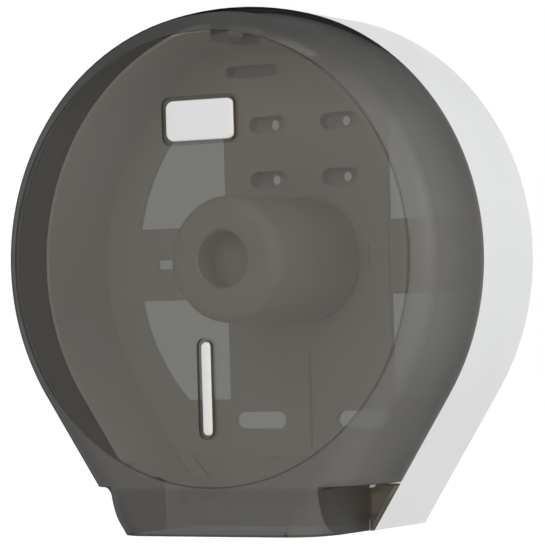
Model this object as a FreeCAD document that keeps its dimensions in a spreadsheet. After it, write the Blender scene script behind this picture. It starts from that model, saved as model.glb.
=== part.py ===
import FreeCAD, Part
import math
import os
import re
import Sketcher

# Jumbo toilet roll dispenser: white wall base, smoked drop-down cover, turning core spool, key lock.
# Millimetres. X to the right, Y into the wall, Z up.
# The origin lies on the wall face, on the axis of the spool, so the front is at negative Y.

# Driving sizes
SIZES = {
    # Keyhole outline at the joint between base and cover
    "rim_radius": 137.5,
    "foot_drop": 10.8,
    "flank_angle": 33.3,
    "base_depth": 63.6,
    "parting_gap": 0.3,
    "overrun": 4,
    "wide_cut": 40,
    # Front cover
    "cover_wall": 2.5,
    "shell_depth": 56.9,
    "flank_radius": 150,
    "crown_lead": 7.4,
    "edge_radius": 17,
    "disc_margin": 15.25,
    "disc_step": 0.9,
    "lip_return": 4,
    # Tucked-in lower corners and hinge lugs of the cover
    "lug_inset": 2.7,
    "lug_wall": 2.5,
    "recess_height": 26.3,
    "recess_corner": 5,
    "lug_end_radius": 8.5,
    "lug_reach": 8,
    # Raised frames on the disc and what sits in them
    "frame_rise": 2.4,
    "frame_wall": 1.5,
    "badge_width": 43.3,
    "badge_height": 22.9,
    "badge_margin": 36.35,
    "badge_corner": 3.3,
    "badge_thickness": 2.4,
    "strip_width": 7.1,
    "strip_length": 51.1,
    "strip_margin": 27.45,
    "strip_corner": 3,
    "insert_recess": 0.4,
    "insert_gap": 0.05,
    "insert_bevel": 0.4,
    "arrow_width": 23,
    "arrow_margin": 18.25,
    "arrow_height": 12.3,
    "arrow_rise": 0.8,
    # Catch tongue inside the top of the cover
    "catch_side": 9.8,
    "catch_width": 10,
    "catch_wall": 2.5,
    "catch_start": 12,
    "catch_drop": 0.9,
    "catch_rise": 0.9,
    "catch_gap": 0.6,
    # Rear housing
    "base_wall": 2.5,
    "rear_taper": 1.1,
    "rear_edge": 2,
    "panel_wall": 2.8,
    "hollow_depth": 6,
    "pad_rise": 1.5,
    "pad_foot": 36.8,
    "pad_crown": 18.5,
    "skirt_wall": 2.5,
    "lip_reach": 9,
    "lip_root": 5,
    "lip_wall": 1.8,
    "lip_gap": 0.9,
    "lip_stop": 9.6,
    # Openings of the back panel
    "window_inside": 52.2,
    "window_low": 20.8,
    "window_crown": 59.3,
    "window_margin": 24.3,
    "slot_side": 23,
    "slot_upper": 77.3,
    "slot_lower": 46,
    "slot_length": 24,
    "slot_width": 9.5,
    "slot_floor": 2,
    "slot_block": 2,
    "wall_screw_radius": 2.75,
    "hanger_side": 33,
    "hanger_margin": 29.3,
    "hanger_length": 34,
    "hanger_width": 6.9,
    "drain_side": 33,
    "drain_foot": 58.1,
    "drain_length": 33.4,
    "drain_width": 9.6,
    "side_hole_margin": 42.8,
    "side_hole_length": 10.1,
    "side_hole_width": 5.2,
    "guide_rib_length": 51.8,
    "guide_rib_foot": 42.7,
    "guide_rib_width": 1.6,
    "guide_rib_rise": 2.5,
    "rear_rib_wall": 2,
    "centre_pad_radius": 30,
    # Bottom hinge
    "hinge_set_back": 7,
    "hinge_rise": 14.3,
    "pin_radius": 2.5,
    "pin_clearance": 0.06,
    "pin_head_radius": 4.2,
    "pin_head_length": 2,
    "pin_tip_bevel": 0.6,
    "pin_reach": 7.6,
    "side_gap": 0.4,
    "fork_wall": 3,
    "fork_front": 4.8,
    "fork_height": 26.3,
    "boss_radius": 5.5,
    "floor_front": 27,
    "web_wall": 2.5,
    "cap_wall": 2.5,
    "cap_top_gap": 2.2,
    "cap_side_gap": 1.4,
    "cap_corner_drop": 3.4,
    # Tear bar
    "bar_front": 4.4,
    "bar_thickness": 3,
    "bar_height": 13.7,
    "bar_lift": 1.7,
    "bar_ledge": 2.5,
    "bar_ledge_depth": 2.4,
    "tooth_pitch": 3,
    "tooth_depth": 2,
    "tab_width": 9,
    "tab_wall": 3,
    "tab_height": 11,
    "bar_screw_radius": 1.5,
    "bar_screw_head_radius": 2.9,
    "bar_screw_head": 1.7,
    "bar_screw_length": 5,
    "bar_end_gap": 0.3,
    "driver_width": 0.8,
    "driver_length": 4.2,
    "driver_depth": 0.9,
    # Core spool
    "spool_radius": 34.4,
    "spool_wall": 2.2,
    "spool_ahead": 40.1,
    "spool_edge": 8,
    "spool_rear_gap": 2.3,
    "mouth_radius": 15.7,
    "mouth_depth": 19,
    "mouth_edge": 1,
    "cup_wall": 2,
    "journal_radius": 12,
    "journal_clearance": 0.06,
    "bearing_length": 26,
    "spool_rib": 1.8,
    "spool_rib_count": 6,
    # Fixed post
    "post_flange": 3,
    "collar_height": 8,
    "collar_clearance": 0.1,
    "post_root_radius": 20,
    "post_wall": 2.4,
    "post_tip": 3,
    "post_tip_bevel": 1,
    "ring_groove": 1.4,
    "ring_groove_depth": 1,
    "ring_thickness": 1.2,
    "ring_reach": 0.7,
    "ring_play": 0.3,
    "ring_slit": 3,
    "ring_rim": 2.6,
    "hook_offset": 3,
    "hook_slot_length": 11.5,
    "hook_slot_width": 4.4,
    "hook_wall": 2,
    "hook_gap": 0.2,
    "ear_width": 13.9,
    "ear_margin": 3.2,
    "ear_thickness": 2,
    "hook_barb": 1.2,
    "hook_barb_length": 2.4,
    # Key lock in the top wall
    "lock_set_back": 18,
    "lock_sink": 0.2,
    "lock_flange_radius": 11.5,
    "lock_flange": 1.2,
    "lock_seat_gap": 0.3,
    "lock_radius": 8.9,
    "lock_hole_gap": 0.1,
    "lock_boss_half": 13.5,
    "lock_boss_drop": 4.7,
    "washer_radius": 12,
    "washer_thickness": 1,
    "nut_flats": 22,
    "nut_height": 3,
    "lock_length": 11,
    "barrel_radius": 5.5,
    "barrel_clearance": 0.05,
    "barrel_head_radius": 6.6,
    "barrel_head": 1.4,
    "key_width": 1.6,
    "key_length": 6.4,
    "key_depth": 2.5,
    "tang_side": 6,
    "tang_gap": 0.05,
    "cam_drop": 0.5,
    "cam_thickness": 2,
    "cam_reach": 16,
    "cam_width": 8,
    "cam_hub_radius": 6.5,
    "cam_corner": 2,
    "cam_screw_radius": 1.6,
    "cam_screw_head_radius": 3.6,
    "cam_screw_head": 2,
    "cam_screw_length": 6,
}

# Sizes and places that follow from the driving sizes
FOLLOWS = {
    # Depths in front of the wall
    "cover_rear": "base_depth + parting_gap",
    "shell_front": "cover_rear + shell_depth",
    "shell_inside": "shell_front - cover_wall",
    "disc_front": "shell_front + disc_step",
    "frame_front": "disc_front + frame_rise",
    "panel_front": "hollow_depth + panel_wall",
    "pad_front": "panel_front + pad_rise",
    "hinge_depth": "base_depth - hinge_set_back",
    "lock_depth": "base_depth - lock_set_back",
    "floor_depth": "base_depth - floor_front",
    "bar_back": "base_depth + bar_front - bar_thickness",
    "spool_front": "base_depth + spool_ahead",
    "spool_rear": "pad_front + spool_rear_gap",
    "cup_back": "spool_front - mouth_depth - cup_wall",
    "ring_front": "cup_back - ring_rim - post_tip",
    "ring_back": "ring_front - (ring_groove + ring_thickness) / 2",
    # Outline, and radii about the spool axis
    "bottom_drop": "rim_radius + foot_drop",
    "bottom_half": "(rim_radius - bottom_drop * sin(flank_angle)) / cos(flank_angle)",
    "rear_radius": "rim_radius - rear_taper",
    "disc_radius": "rim_radius - disc_margin",
    "window_radius": "rim_radius - window_margin",
    # Levels above the spool axis
    "badge_top": "disc_radius - badge_margin",
    "badge_bottom": "badge_top - badge_height",
    "window_high": "rim_radius - window_crown",
    "pad_top": "rim_radius - pad_crown",
    "hanger_top": "rim_radius - hanger_margin",
    "lock_top": "rim_radius - lock_sink",
    "lock_seat": "lock_top - lock_flange",
    "lock_under": "lock_top - lock_boss_drop",
    "cam_top": "lock_top - lock_length - cam_drop",
    "cam_bottom": "cam_top - cam_thickness",
    # Drops below the spool axis
    "strip_bottom": "disc_radius - strip_margin",
    "strip_top": "strip_bottom - strip_length",
    "arrow_top": "disc_radius - arrow_margin",
    "recess_top": "bottom_drop - recess_height",
    "fork_top": "bottom_drop - fork_height",
    "cap_top": "recess_top + cap_top_gap",
    "hinge_drop": "bottom_drop - hinge_rise",
    "bar_bottom": "bottom_drop - bar_lift",
    "bar_top": "bar_bottom - bar_height",
    "bar_screw_drop": "(bar_top + bar_bottom) / 2",
    "pad_bottom": "bottom_drop - pad_foot",
    "drain_low": "bottom_drop - drain_foot",
    "guide_rib_bottom": "bottom_drop - guide_rib_foot",
    "guide_rib_top": "guide_rib_bottom - guide_rib_length",
    # Places beside the middle plane
    "lug_outside": "bottom_half - lug_inset",
    "lug_inside": "lug_outside - lug_wall",
    "fork_outside": "lug_inside - side_gap",
    "fork_inside": "fork_outside - fork_wall",
    "boss_inside": "lug_outside + side_gap",
    "cap_inside": "lug_outside + cap_side_gap",
    "pin_depth": "lug_outside + pin_reach",
    "bar_screw_side": "fork_inside - tab_width / 2",
    "side_hole_centre": "rim_radius - side_hole_margin",
    "hook_centre": "spool_radius + hook_offset",
    "ear_reach": "hook_centre + ear_margin",
    "lip_run": "(recess_top - rim_radius * sin(flank_angle)) / cos(flank_angle) - lip_stop",
}

doc = FreeCAD.newDocument("roll_dispenser")
sheet = doc.addObject("Spreadsheet::Sheet", "Sizes")
for row, (alias, content) in enumerate([*SIZES.items(), *FOLLOWS.items()], 1):
    sheet.set("A%d" % row, alias)
    sheet.setAlias("B%d" % row, alias)
    sheet.set("B%d" % row, "=" + content if alias in FOLLOWS else str(content))
doc.recompute()


def sized(text):
    """Turn the names of sizes in a text into references to the sheet."""
    prefix = lambda word: "Sizes." if word in SIZES or word in FOLLOWS else ""
    return re.sub(r"[a-z_]+", lambda found: prefix(found.group()) + found.group(), text)


def value(text):
    """Work a text of sizes out to a number."""
    return float(sheet.evalExpression(sized(text)))


def plane(body, role):
    """One of a body's own origin planes."""
    return [item for item in body.Origin.OriginFeatures if item.Role == role][0]


def new_body(label):
    """An empty body with a name of its own."""
    body = doc.addObject("PartDesign::Body", label)
    body.Label = label
    return body


def new_sketch(body, role, shift="0", turned=False):
    """A sketch on an origin plane, moved along its normal, or turned to the lower flank."""
    sketch = body.newObject("Sketcher::SketchObject", body.Label + "_sketch")
    sketch.AttachmentSupport = [(plane(body, role), "")]
    sketch.MapMode = "FlatFace"
    if turned:
        spin = FreeCAD.Rotation(FreeCAD.Vector(0, 1, 0), value("flank_angle"))
        sketch.AttachmentOffset = FreeCAD.Placement(FreeCAD.Vector(), spin)
        sketch.setExpression("AttachmentOffset.Rotation.Angle", sized("flank_angle"))
    if shift != "0":
        sketch.setExpression("AttachmentOffset.Base.z", sized(shift))
    return sketch


def hold(sketch, edge, end, along, text):
    """Hold one coordinate of a point of a sketch at a sized place."""
    number = value(text)
    if abs(number) < 1e-9:
        sketch.addConstraint(Sketcher.Constraint("PointOnObject", edge, end, -2 if along == "X" else -1))
        return
    index = sketch.addConstraint(Sketcher.Constraint("Distance" + along, -1, 1, edge, end, number))
    sketch.setExpression("Constraints[%d]" % index, sized(text))


def loop(sketch, corners):
    """A closed outline. A corner is (x, y) or (x, y, radius, turn), where an arc leads to the next corner."""
    places = [FreeCAD.Vector(value(corner[0]), value(corner[1]), 0) for corner in corners]
    first = sketch.GeometryCount
    ends = []
    for index, corner in enumerate(corners):
        start = places[index]
        finish = places[(index + 1) % len(places)]
        if len(corner) == 2:
            sketch.addGeometry(Part.LineSegment(start, finish), False)
            ends.append((1, 2))
            continue
        radius = value(corner[2])
        turn = corner[3]
        chord = finish - start
        half = chord.Length / 2
        side = FreeCAD.Vector(-chord.y, chord.x, 0).normalize() * turn
        centre = (start + finish) / 2 + side * math.sqrt(max(radius * radius - half * half, 0))
        begin = start if turn > 0 else finish
        stop = finish if turn > 0 else start
        low = math.atan2(begin.y - centre.y, begin.x - centre.x)
        high = math.atan2(stop.y - centre.y, stop.x - centre.x)
        if high < low:
            high += 2 * math.pi
        circle = Part.Circle(centre, FreeCAD.Vector(0, 0, 1), radius)
        sketch.addGeometry(Part.ArcOfCircle(circle, low, high), False)
        ends.append((1, 2) if turn > 0 else (2, 1))
    count = len(corners)
    for index, corner in enumerate(corners):
        after = (index + 1) % count
        joint = (first + index, ends[index][1], first + after, ends[after][0])
        sketch.addConstraint(Sketcher.Constraint("Coincident", *joint))
        hold(sketch, first + index, ends[index][0], "X", corner[0])
        hold(sketch, first + index, ends[index][0], "Y", corner[1])
        if len(corner) == 4:
            radius = Sketcher.Constraint("Radius", first + index, value(corner[2]))
            place = sketch.addConstraint(radius)
            sketch.setExpression("Constraints[%d]" % place, sized(corner[2]))


def rectangle(sketch, left, right, low, high):
    """A plain rectangle."""
    loop(sketch, [(left, low), (right, low), (right, high), (left, high)])


def rounded(sketch, left, right, low, high, radius):
    """A rectangle with round corners."""
    inset = lambda edge, sign: "(%s %s (%s))" % (edge, sign, radius)
    loop(sketch, [
        (inset(left, "+"), low), (inset(right, "-"), low, radius, 1),
        (right, inset(low, "+")), (right, inset(high, "-"), radius, 1),
        (inset(right, "-"), high), (inset(left, "+"), high, radius, 1),
        (left, inset(high, "-")), (left, inset(low, "+"), radius, 1)])


def circle(sketch, x, y, radius):
    """A full circle."""
    centre = FreeCAD.Vector(value(x), value(y), 0)
    edge = sketch.addGeometry(Part.Circle(centre, FreeCAD.Vector(0, 0, 1), value(radius)), False)
    hold(sketch, edge, 3, "X", x)
    hold(sketch, edge, 3, "Y", y)
    place = sketch.addConstraint(Sketcher.Constraint("Radius", edge, value(radius)))
    sketch.setExpression("Constraints[%d]" % place, sized(radius))


def obround(sketch, x, y, length, width):
    """A level slot with half-round ends."""
    near = "(%s - (%s - %s) / 2)" % (x, length, width)
    far = "(%s + (%s - %s) / 2)" % (x, length, width)
    low = "(%s - %s / 2)" % (y, width)
    high = "(%s + %s / 2)" % (y, width)
    radius = value(width) / 2
    axis = FreeCAD.Vector(0, 0, 1)
    first = sketch.GeometryCount
    ends = ((near, low), (far, low), (far, high), (near, high))
    spots = [FreeCAD.Vector(value(across), value(up), 0) for across, up in ends]
    sketch.addGeometry(Part.LineSegment(spots[0], spots[1]), False)
    right = Part.Circle(FreeCAD.Vector(value(far), value(y), 0), axis, radius)
    sketch.addGeometry(Part.ArcOfCircle(right, -math.pi / 2, math.pi / 2), False)
    sketch.addGeometry(Part.LineSegment(spots[2], spots[3]), False)
    left = Part.Circle(FreeCAD.Vector(value(near), value(y), 0), axis, radius)
    sketch.addGeometry(Part.ArcOfCircle(left, math.pi / 2, 3 * math.pi / 2), False)
    for index in range(4):
        after = first + (index + 1) % 4
        sketch.addConstraint(Sketcher.Constraint("Coincident", first + index, 2, after, 1))
    for edge, across, up in ((0, near, low), (1, far, low), (2, far, high), (3, near, high)):
        hold(sketch, first + edge, 1, "X", across)
        hold(sketch, first + edge, 1, "Y", up)
    hold(sketch, first + 1, 3, "X", far)
    hold(sketch, first + 3, 3, "X", near)


def shape_volume(body):
    """The volume of a body so far."""
    return body.Shape.Volume if body.Shape and not body.Shape.isNull() else 0


def finish(body, feature, adds):
    """Recompute and see that the feature did what it is for."""
    before = shape_volume(body)
    body.Tip = feature
    doc.recompute()
    after = shape_volume(body)
    if not feature.isValid() or (after <= before if adds else after >= before):
        raise RuntimeError("%s: %s changed %.3f to %.3f" % (body.Label, feature.Name, before, after))
    return feature


def extrude(body, sketch, length, adds=True, both=False, back=False):
    """Pad or pocket a sketch by a sized length."""
    kind = "PartDesign::Pad" if adds else "PartDesign::Pocket"
    feature = body.newObject(kind, body.Label + ("_pad" if adds else "_cut"))
    feature.Profile = sketch
    feature.setExpression("Length", sized(length))
    if both:
        feature.SideType = "Symmetric"
    feature.Reversed = back
    return finish(body, feature, adds)


def turn(body, sketch, adds=True, axis="V_Axis", angle="360", back=False):
    """Revolve a sketch about one of its own axes."""
    kind = "PartDesign::Revolution" if adds else "PartDesign::Groove"
    feature = body.newObject(kind, body.Label + "_turned")
    feature.Profile = sketch
    feature.ReferenceAxis = (sketch, [axis])
    feature.setExpression("Angle", sized(angle))
    feature.Reversed = back
    return finish(body, feature, adds)


def mirror(body, features, adds=True, role="YZ_Plane"):
    """Repeat features on the other side of an origin plane."""
    feature = body.newObject("PartDesign::Mirrored", body.Label + "_mirrored")
    feature.Originals = features
    feature.MirrorPlane = (plane(body, role), [""])
    return finish(body, feature, adds)


def flank(body, corners, adds=True, length="(bottom_drop * cos(flank_angle) + overrun)"):
    """Run a section along both straight lower flanks of the keyhole outline."""
    sketch = new_sketch(body, "XY_Plane", turned=True)
    loop(sketch, corners)
    run = extrude(body, sketch, length, adds=adds, back=adds)
    mirror(body, [run], adds)


def keyhole(body, corners, adds=True):
    """Sweep a section round the keyhole outline: a full turn, then both straight flanks."""
    sketch = new_sketch(body, "XY_Plane")
    loop(sketch, corners)
    turn(body, sketch, adds)
    flank(body, corners, adds)


def cut_below(body, level):
    """Cut a body off below a level."""
    sketch = new_sketch(body, "XZ_Plane", "(frame_front + overrun)")
    rectangle(sketch, "-(rim_radius + overrun)", "(rim_radius + overrun)", "-(rim_radius * 2)", "-" + level)
    extrude(body, sketch, "(frame_front + overrun * 2)", adds=False)


def cover_section(inset):
    """Corners and arcs of the cover's section at an inset from its outside."""
    centre_x = "(rim_radius - sqrt(flank_radius ^ 2 - crown_lead ^ 2))"
    centre_y = "(-cover_rear - crown_lead)"
    round_y = "(edge_radius - shell_front)"
    reach = "(flank_radius - edge_radius)"
    round_x = "(%s + sqrt(%s ^ 2 - (%s - %s) ^ 2))" % (centre_x, reach, round_y, centre_y)
    share = "((flank_radius - %s) / %s)" % (inset, reach)
    meet_x = "(%s + (%s - %s) * %s)" % (centre_x, round_x, centre_x, share)
    meet_y = "(%s + (%s - %s) * %s)" % (centre_y, round_y, centre_y, share)
    rim_x = "(%s + sqrt((flank_radius - %s) ^ 2 - crown_lead ^ 2))" % (centre_x, inset)
    front_y = "(%s - shell_front)" % inset
    flank_arc = (rim_x, "-cover_rear", "(flank_radius - %s)" % inset, -1)
    edge_arc = (meet_x, meet_y, "(edge_radius - %s)" % inset, -1)
    return rim_x, flank_arc, edge_arc, (round_x, front_y)


def make_front_cover():
    """Smoked cover: keyhole shell with raised disc, frames, tucked corners, hinge lugs and catch."""
    body = new_body("front_cover")
    rim_x, flank_arc, edge_arc, flat = cover_section("0")
    keyhole(body, [("0", "-cover_rear"), flank_arc, edge_arc, flat, ("0", flat[1])])
    cut_below(body, "bottom_drop")

    # Lower corners stepped in to the lugs
    sketch = new_sketch(body, "XZ_Plane", "shell_front")
    for side in ("", "-"):
        tucked_corner(sketch, side)
    extrude(body, sketch, "(shell_depth + overrun)", adds=False)

    # Hollow inside
    rim_x, flank_arc, edge_arc, flat = cover_section("cover_wall")
    behind = "(overrun - cover_rear)"
    keyhole(body, [("0", behind), (rim_x, behind), flank_arc, edge_arc, flat, ("0", flat[1])], adds=False)

    # Walls that close the stepped corners, trimmed to the outside of the flanks
    sketch = new_sketch(body, "XZ_Plane", "cover_rear")
    for side in ("", "-"):
        corner_wall(sketch, side)
    extrude(body, sketch, "(shell_depth - cover_wall / 2)")
    rim_x, flank_arc, edge_arc, flat = cover_section("0")
    beyond = "(rim_radius + wide_cut)"
    ahead = "(-shell_front - overrun)"
    outside = [flank_arc, edge_arc, flat, (flat[0], ahead), (beyond, ahead), (beyond, flank_arc[1])]
    flank(body, outside, adds=False)

    # Short return along the bottom edge of the front
    sketch = new_sketch(body, "XZ_Plane", "(shell_inside - lip_return)")
    half = "((%s - bottom_drop * sin(flank_angle)) / cos(flank_angle))" % flat[0]
    rectangle(sketch, "-" + half, half, "-bottom_drop", "(cover_wall - bottom_drop)")
    extrude(body, sketch, "(lip_return + cover_wall / 2)")

    # Raised disc, frames and arrow on the front
    sketch = new_sketch(body, "XZ_Plane", "shell_inside")
    circle(sketch, "0", "0", "disc_radius")
    extrude(body, sketch, "(cover_wall + disc_step)")
    sketch = new_sketch(body, "XZ_Plane", "disc_front")
    badge_outline(sketch, "frame_wall")
    strip_outline(sketch, "frame_wall")
    extrude(body, sketch, "frame_rise")
    sketch = new_sketch(body, "XZ_Plane", "frame_front")
    badge_outline(sketch, "0")
    strip_outline(sketch, "0")
    extrude(body, sketch, "(badge_thickness + insert_recess)", adds=False)
    sketch = new_sketch(body, "XZ_Plane", "disc_front")
    loop(sketch, [("-arrow_width / 2", "-arrow_top"), ("0", "-(arrow_top + arrow_height)"),
                  ("arrow_width / 2", "-arrow_top")])
    extrude(body, sketch, "arrow_rise")

    # Hinge lugs that reach back inside the side walls of the base
    sketch = new_sketch(body, "YZ_Plane", "lug_inside")
    top = "(lug_end_radius - hinge_drop)"
    low = "(-lug_end_radius - hinge_drop)"
    front = "-(cover_rear + lug_reach)"
    centre = "-hinge_depth"
    loop(sketch, [(front, low), (centre, low, "lug_end_radius", 1),
                  ("(lug_end_radius - hinge_depth)", "-hinge_drop", "lug_end_radius", 1),
                  (centre, top), (front, top)])
    lug = extrude(body, sketch, "lug_wall")
    mirror(body, [lug])
    sketch = new_sketch(body, "YZ_Plane")
    circle(sketch, centre, "-hinge_drop", "(pin_radius + pin_clearance)")
    extrude(body, sketch, "(rim_radius * 2)", adds=False, both=True)

    # Catch tongue that the lock cam holds
    sketch = new_sketch(body, "YZ_Plane", "-(catch_side + catch_width)")
    root = "-(cover_rear + catch_start)"
    roof = "sqrt((rim_radius - cover_wall / 2) ^ 2 - catch_side ^ 2)"
    under = "(cam_bottom - catch_drop - catch_wall)"
    over = "(cam_bottom - catch_drop)"
    hook = "(cam_width / 2 + catch_gap - lock_depth)"
    hook_top = "(cam_top + catch_rise)"
    loop(sketch, [(root, under), ("(%s + catch_wall)" % hook, under), ("(%s + catch_wall)" % hook, hook_top),
                  (hook, hook_top), (hook, over), ("(%s + catch_wall)" % root, over),
                  ("(%s + catch_wall)" % root, roof), (root, roof)])
    extrude(body, sketch, "catch_width")


def tucked_corner(sketch, side):
    """Space of a stepped lower corner, on one side."""
    edge = side + "lug_outside"
    bend = side + "(lug_outside + recess_corner)"
    far = side + "rim_radius"
    low = "-(bottom_drop + overrun)"
    way = 1 if side else -1
    loop(sketch, [(edge, low), (edge, "-(recess_top + recess_corner)", "recess_corner", way),
                  (bend, "-recess_top"), (far, "-recess_top"), (far, low)])


def corner_wall(sketch, side):
    """Section of the wall that closes a stepped lower corner."""
    outer = side + "lug_outside"
    inner = side + "lug_inside"
    bend = side + "(lug_outside + recess_corner)"
    far = side + "(lug_outside + wide_cut)"
    level = "-(recess_top + recess_corner)"
    way = 1 if side else -1
    loop(sketch, [(outer, "-bottom_drop"), (outer, level, "recess_corner", way),
                  (bend, "-recess_top"), (far, "-recess_top"), (far, "(lug_wall - recess_top)"),
                  (bend, "(lug_wall - recess_top)", "(recess_corner + lug_wall)", -way),
                  (inner, level), (inner, "-bottom_drop")])


def badge_outline(sketch, grow):
    """Outline of the badge plate, grown by a margin."""
    half = "(badge_width / 2 + %s)" % grow
    rounded(sketch, "-" + half, half, "(badge_bottom - %s)" % grow, "(badge_top + %s)" % grow,
            "(badge_corner + %s)" % grow)


def strip_outline(sketch, grow):
    """Outline of the level strip, grown by a margin."""
    half = "(strip_width / 2 + %s)" % grow
    rounded(sketch, "-" + half, half, "(-strip_bottom - %s)" % grow, "(%s - strip_top)" % grow,
            "(strip_corner + %s)" % grow)


def make_insert(label, outline):
    """White plate that fills a frame on the disc, its front edge rounded."""
    body = new_body(label)
    sketch = new_sketch(body, "XZ_Plane", "(frame_front - badge_thickness - insert_recess)")
    outline(sketch, "-insert_gap")
    plate = extrude(body, sketch, "badge_thickness")
    front = -value("frame_front - insert_recess")
    depths = [face.CenterOfMass.y for face in plate.Shape.Faces]
    faces = [index for index, depth in enumerate(depths, 1) if abs(depth - front) < 1e-6]
    edge = body.newObject("PartDesign::Fillet", label + "_edge")
    edge.Base = (plate, ["Face%d" % faces[0]])
    edge.setExpression("Radius", sized("insert_bevel"))
    finish(body, edge, False)


def make_rear_housing():
    """White base: side wall with a joint lip, lock seat, hinge forks and back panel."""
    body = new_body("rear_housing")
    rim = "-base_depth"
    keyhole(body, [("0", rim), ("rim_radius", rim), ("rear_radius", "-rear_edge", "rear_edge", 1),
                   ("(rear_radius - rear_edge)", "0"), ("0", "0")])
    cut_below(body, "bottom_drop")

    # Front hollow down to the panel, and the shallow hollow behind it
    ahead = "(-base_depth - overrun)"
    wall_x = "(rim_radius - base_wall)"
    deep_x = "(rear_radius - base_wall + rear_taper * panel_front / base_depth)"
    front = "-panel_front"
    keyhole(body, [("0", ahead), (wall_x, ahead), (wall_x, rim), (deep_x, front), ("0", front)], adds=False)
    skirt_x = "(rear_radius - skirt_wall)"
    hollow = [("0", "-hollow_depth"), (skirt_x, "-hollow_depth"), (skirt_x, "overrun"), ("0", "overrun")]
    keyhole(body, hollow, adds=False)

    # Lip that locates the cover, left off near the hinge
    lip_outer = "(rim_radius - cover_wall - lip_gap)"
    lip_inner = "(rim_radius - cover_wall - lip_gap - lip_wall)"
    root_x = "(rim_radius - base_wall / 2)"
    tip = "(-base_depth - lip_reach)"
    root = "(lip_root - base_depth)"
    corners = [(lip_inner, tip), (lip_outer, tip), (lip_outer, rim), (root_x, rim), (root_x, root),
               (lip_inner, root)]
    sketch = new_sketch(body, "XY_Plane", turned=True)
    loop(sketch, corners)
    turn(body, sketch, angle="(180 + flank_angle * 2)", back=True)
    flank(body, corners, length="lip_run")
    lock_seat(body)
    hinge_details(body)
    panel_details(body)


def lock_seat(body):
    """Boss under the top wall, with a sunk seat and a hole for the key lock."""
    sketch = new_sketch(body, "XY_Plane", "lock_under")
    near = "(lock_boss_half - lock_depth)"
    far = "(-lock_boss_half - lock_depth)"
    rectangle(sketch, "-lock_boss_half", "lock_boss_half", far, near)
    extrude(body, sketch, "(lock_boss_drop - lock_flange)")
    sketch = new_sketch(body, "XZ_Plane", "lock_depth")
    wide = "(lock_flange_radius + lock_seat_gap)"
    narrow = "(lock_radius + lock_hole_gap)"
    low = "(lock_under - overrun)"
    high = "(rim_radius + overrun)"
    loop(sketch, [("0", low), (narrow, low), (narrow, "lock_seat"), (wide, "lock_seat"), (wide, high),
                  ("0", high)])
    turn(body, sketch, adds=False)


def hinge_details(body):
    """Floor at the back of the mouth, and a fork for each hinge lug."""
    sketch = new_sketch(body, "XZ_Plane")
    half = "(bottom_half - base_wall / 2)"
    rectangle(sketch, "-" + half, half, "-bottom_drop", "(base_wall - bottom_drop)")
    extrude(body, sketch, "floor_depth")

    # Inner plates of the forks
    sketch = new_sketch(body, "XY_Plane", "-bottom_drop")
    front = "(-base_depth - fork_front)"
    back = "(web_wall - floor_depth)"
    for side in ("", "-"):
        rectangle(sketch, side + "fork_inside", side + "fork_outside", front, back)
    extrude(body, sketch, "(bottom_drop - fork_top)")

    # Tabs for the tear bar
    sketch = new_sketch(body, "XZ_Plane", "(bar_back - tab_wall)")
    for side in ("", "-"):
        rectangle(sketch, side + "(fork_inside - tab_width)", side + "(fork_inside + fork_wall / 2)",
                  "-(bar_screw_drop + tab_height / 2)", "(tab_height / 2 - bar_screw_drop)")
    extrude(body, sketch, "tab_wall")

    # Webs behind the lugs, and bosses beside them
    sketch = new_sketch(body, "XZ_Plane", "(floor_depth - web_wall)")
    root = "(fork_inside + fork_wall / 2)"
    foot = "(bottom_drop - base_wall / 2)"
    for side in ("", "-"):
        loop(sketch, [(side + root, "-" + foot), (side + wall_side(foot), "-" + foot),
                      (side + wall_side("fork_top"), "-fork_top"), (side + root, "-fork_top")])
    extrude(body, sketch, "web_wall")
    sketch = new_sketch(body, "XZ_Plane", "(hinge_depth - boss_radius)")
    low = "(hinge_drop + boss_radius)"
    high = "(hinge_drop - boss_radius)"
    for side in ("", "-"):
        loop(sketch, [(side + "boss_inside", "-" + low), (side + wall_side(low), "-" + low),
                      (side + wall_side(high), "-" + high), (side + "boss_inside", "-" + high)])
    extrude(body, sketch, "(boss_radius * 2)")

    # Clear way for the lugs between plates and bosses
    sketch = new_sketch(body, "XZ_Plane", "(base_depth + overrun)")
    low = "-(bottom_drop + overrun)"
    for side in ("", "-"):
        rectangle(sketch, side + "fork_outside", side + "boss_inside", low, "-fork_top")
    extrude(body, sketch, "(floor_front + overrun)", adds=False)

    # Bores for the hinge pins and pilot holes for the bar screws
    sketch = new_sketch(body, "XY_Plane", "-hinge_drop")
    axis = sketch.addGeometry(Part.LineSegment(FreeCAD.Vector(), FreeCAD.Vector(1, 0, 0)), True)
    hold(sketch, axis, 1, "Y", "-hinge_depth")
    hold(sketch, axis, 2, "Y", "-hinge_depth")
    hold(sketch, axis, 1, "X", "0")
    hold(sketch, axis, 2, "X", "fork_inside")
    for side in ("", "-"):
        rectangle(sketch, side + "(fork_inside - overrun)", side + "pin_depth",
                  "-hinge_depth", "(pin_radius - hinge_depth)")
    turn(body, sketch, adds=False, axis="Axis0")
    sketch = new_sketch(body, "XZ_Plane", "bar_back")
    for side in ("", "-"):
        circle(sketch, side + "bar_screw_side", "-bar_screw_drop", "bar_screw_radius")
    extrude(body, sketch, "tab_wall", adds=False)


def wall_side(drop):
    """Half width between the straight side walls at a drop below the spool axis."""
    return "((rim_radius - %s * sin(flank_angle)) / cos(flank_angle) - base_wall)" % drop


def window_outline(sketch, right, upper):
    """One quarter window of the back panel: straight edges beside the cross, round outer edge."""
    side = "" if right else "-"
    level = "" if upper else "-"
    far_low = side + "sqrt(window_radius ^ 2 - window_low ^ 2)"
    far_high = side + "sqrt(window_radius ^ 2 - window_high ^ 2)"
    way = 1 if right == upper else -1
    loop(sketch, [(side + "window_inside", level + "window_low"),
                  (far_low, level + "window_low", "window_radius", way),
                  (far_high, level + "window_high"), (side + "window_inside", level + "window_high")])


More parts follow.
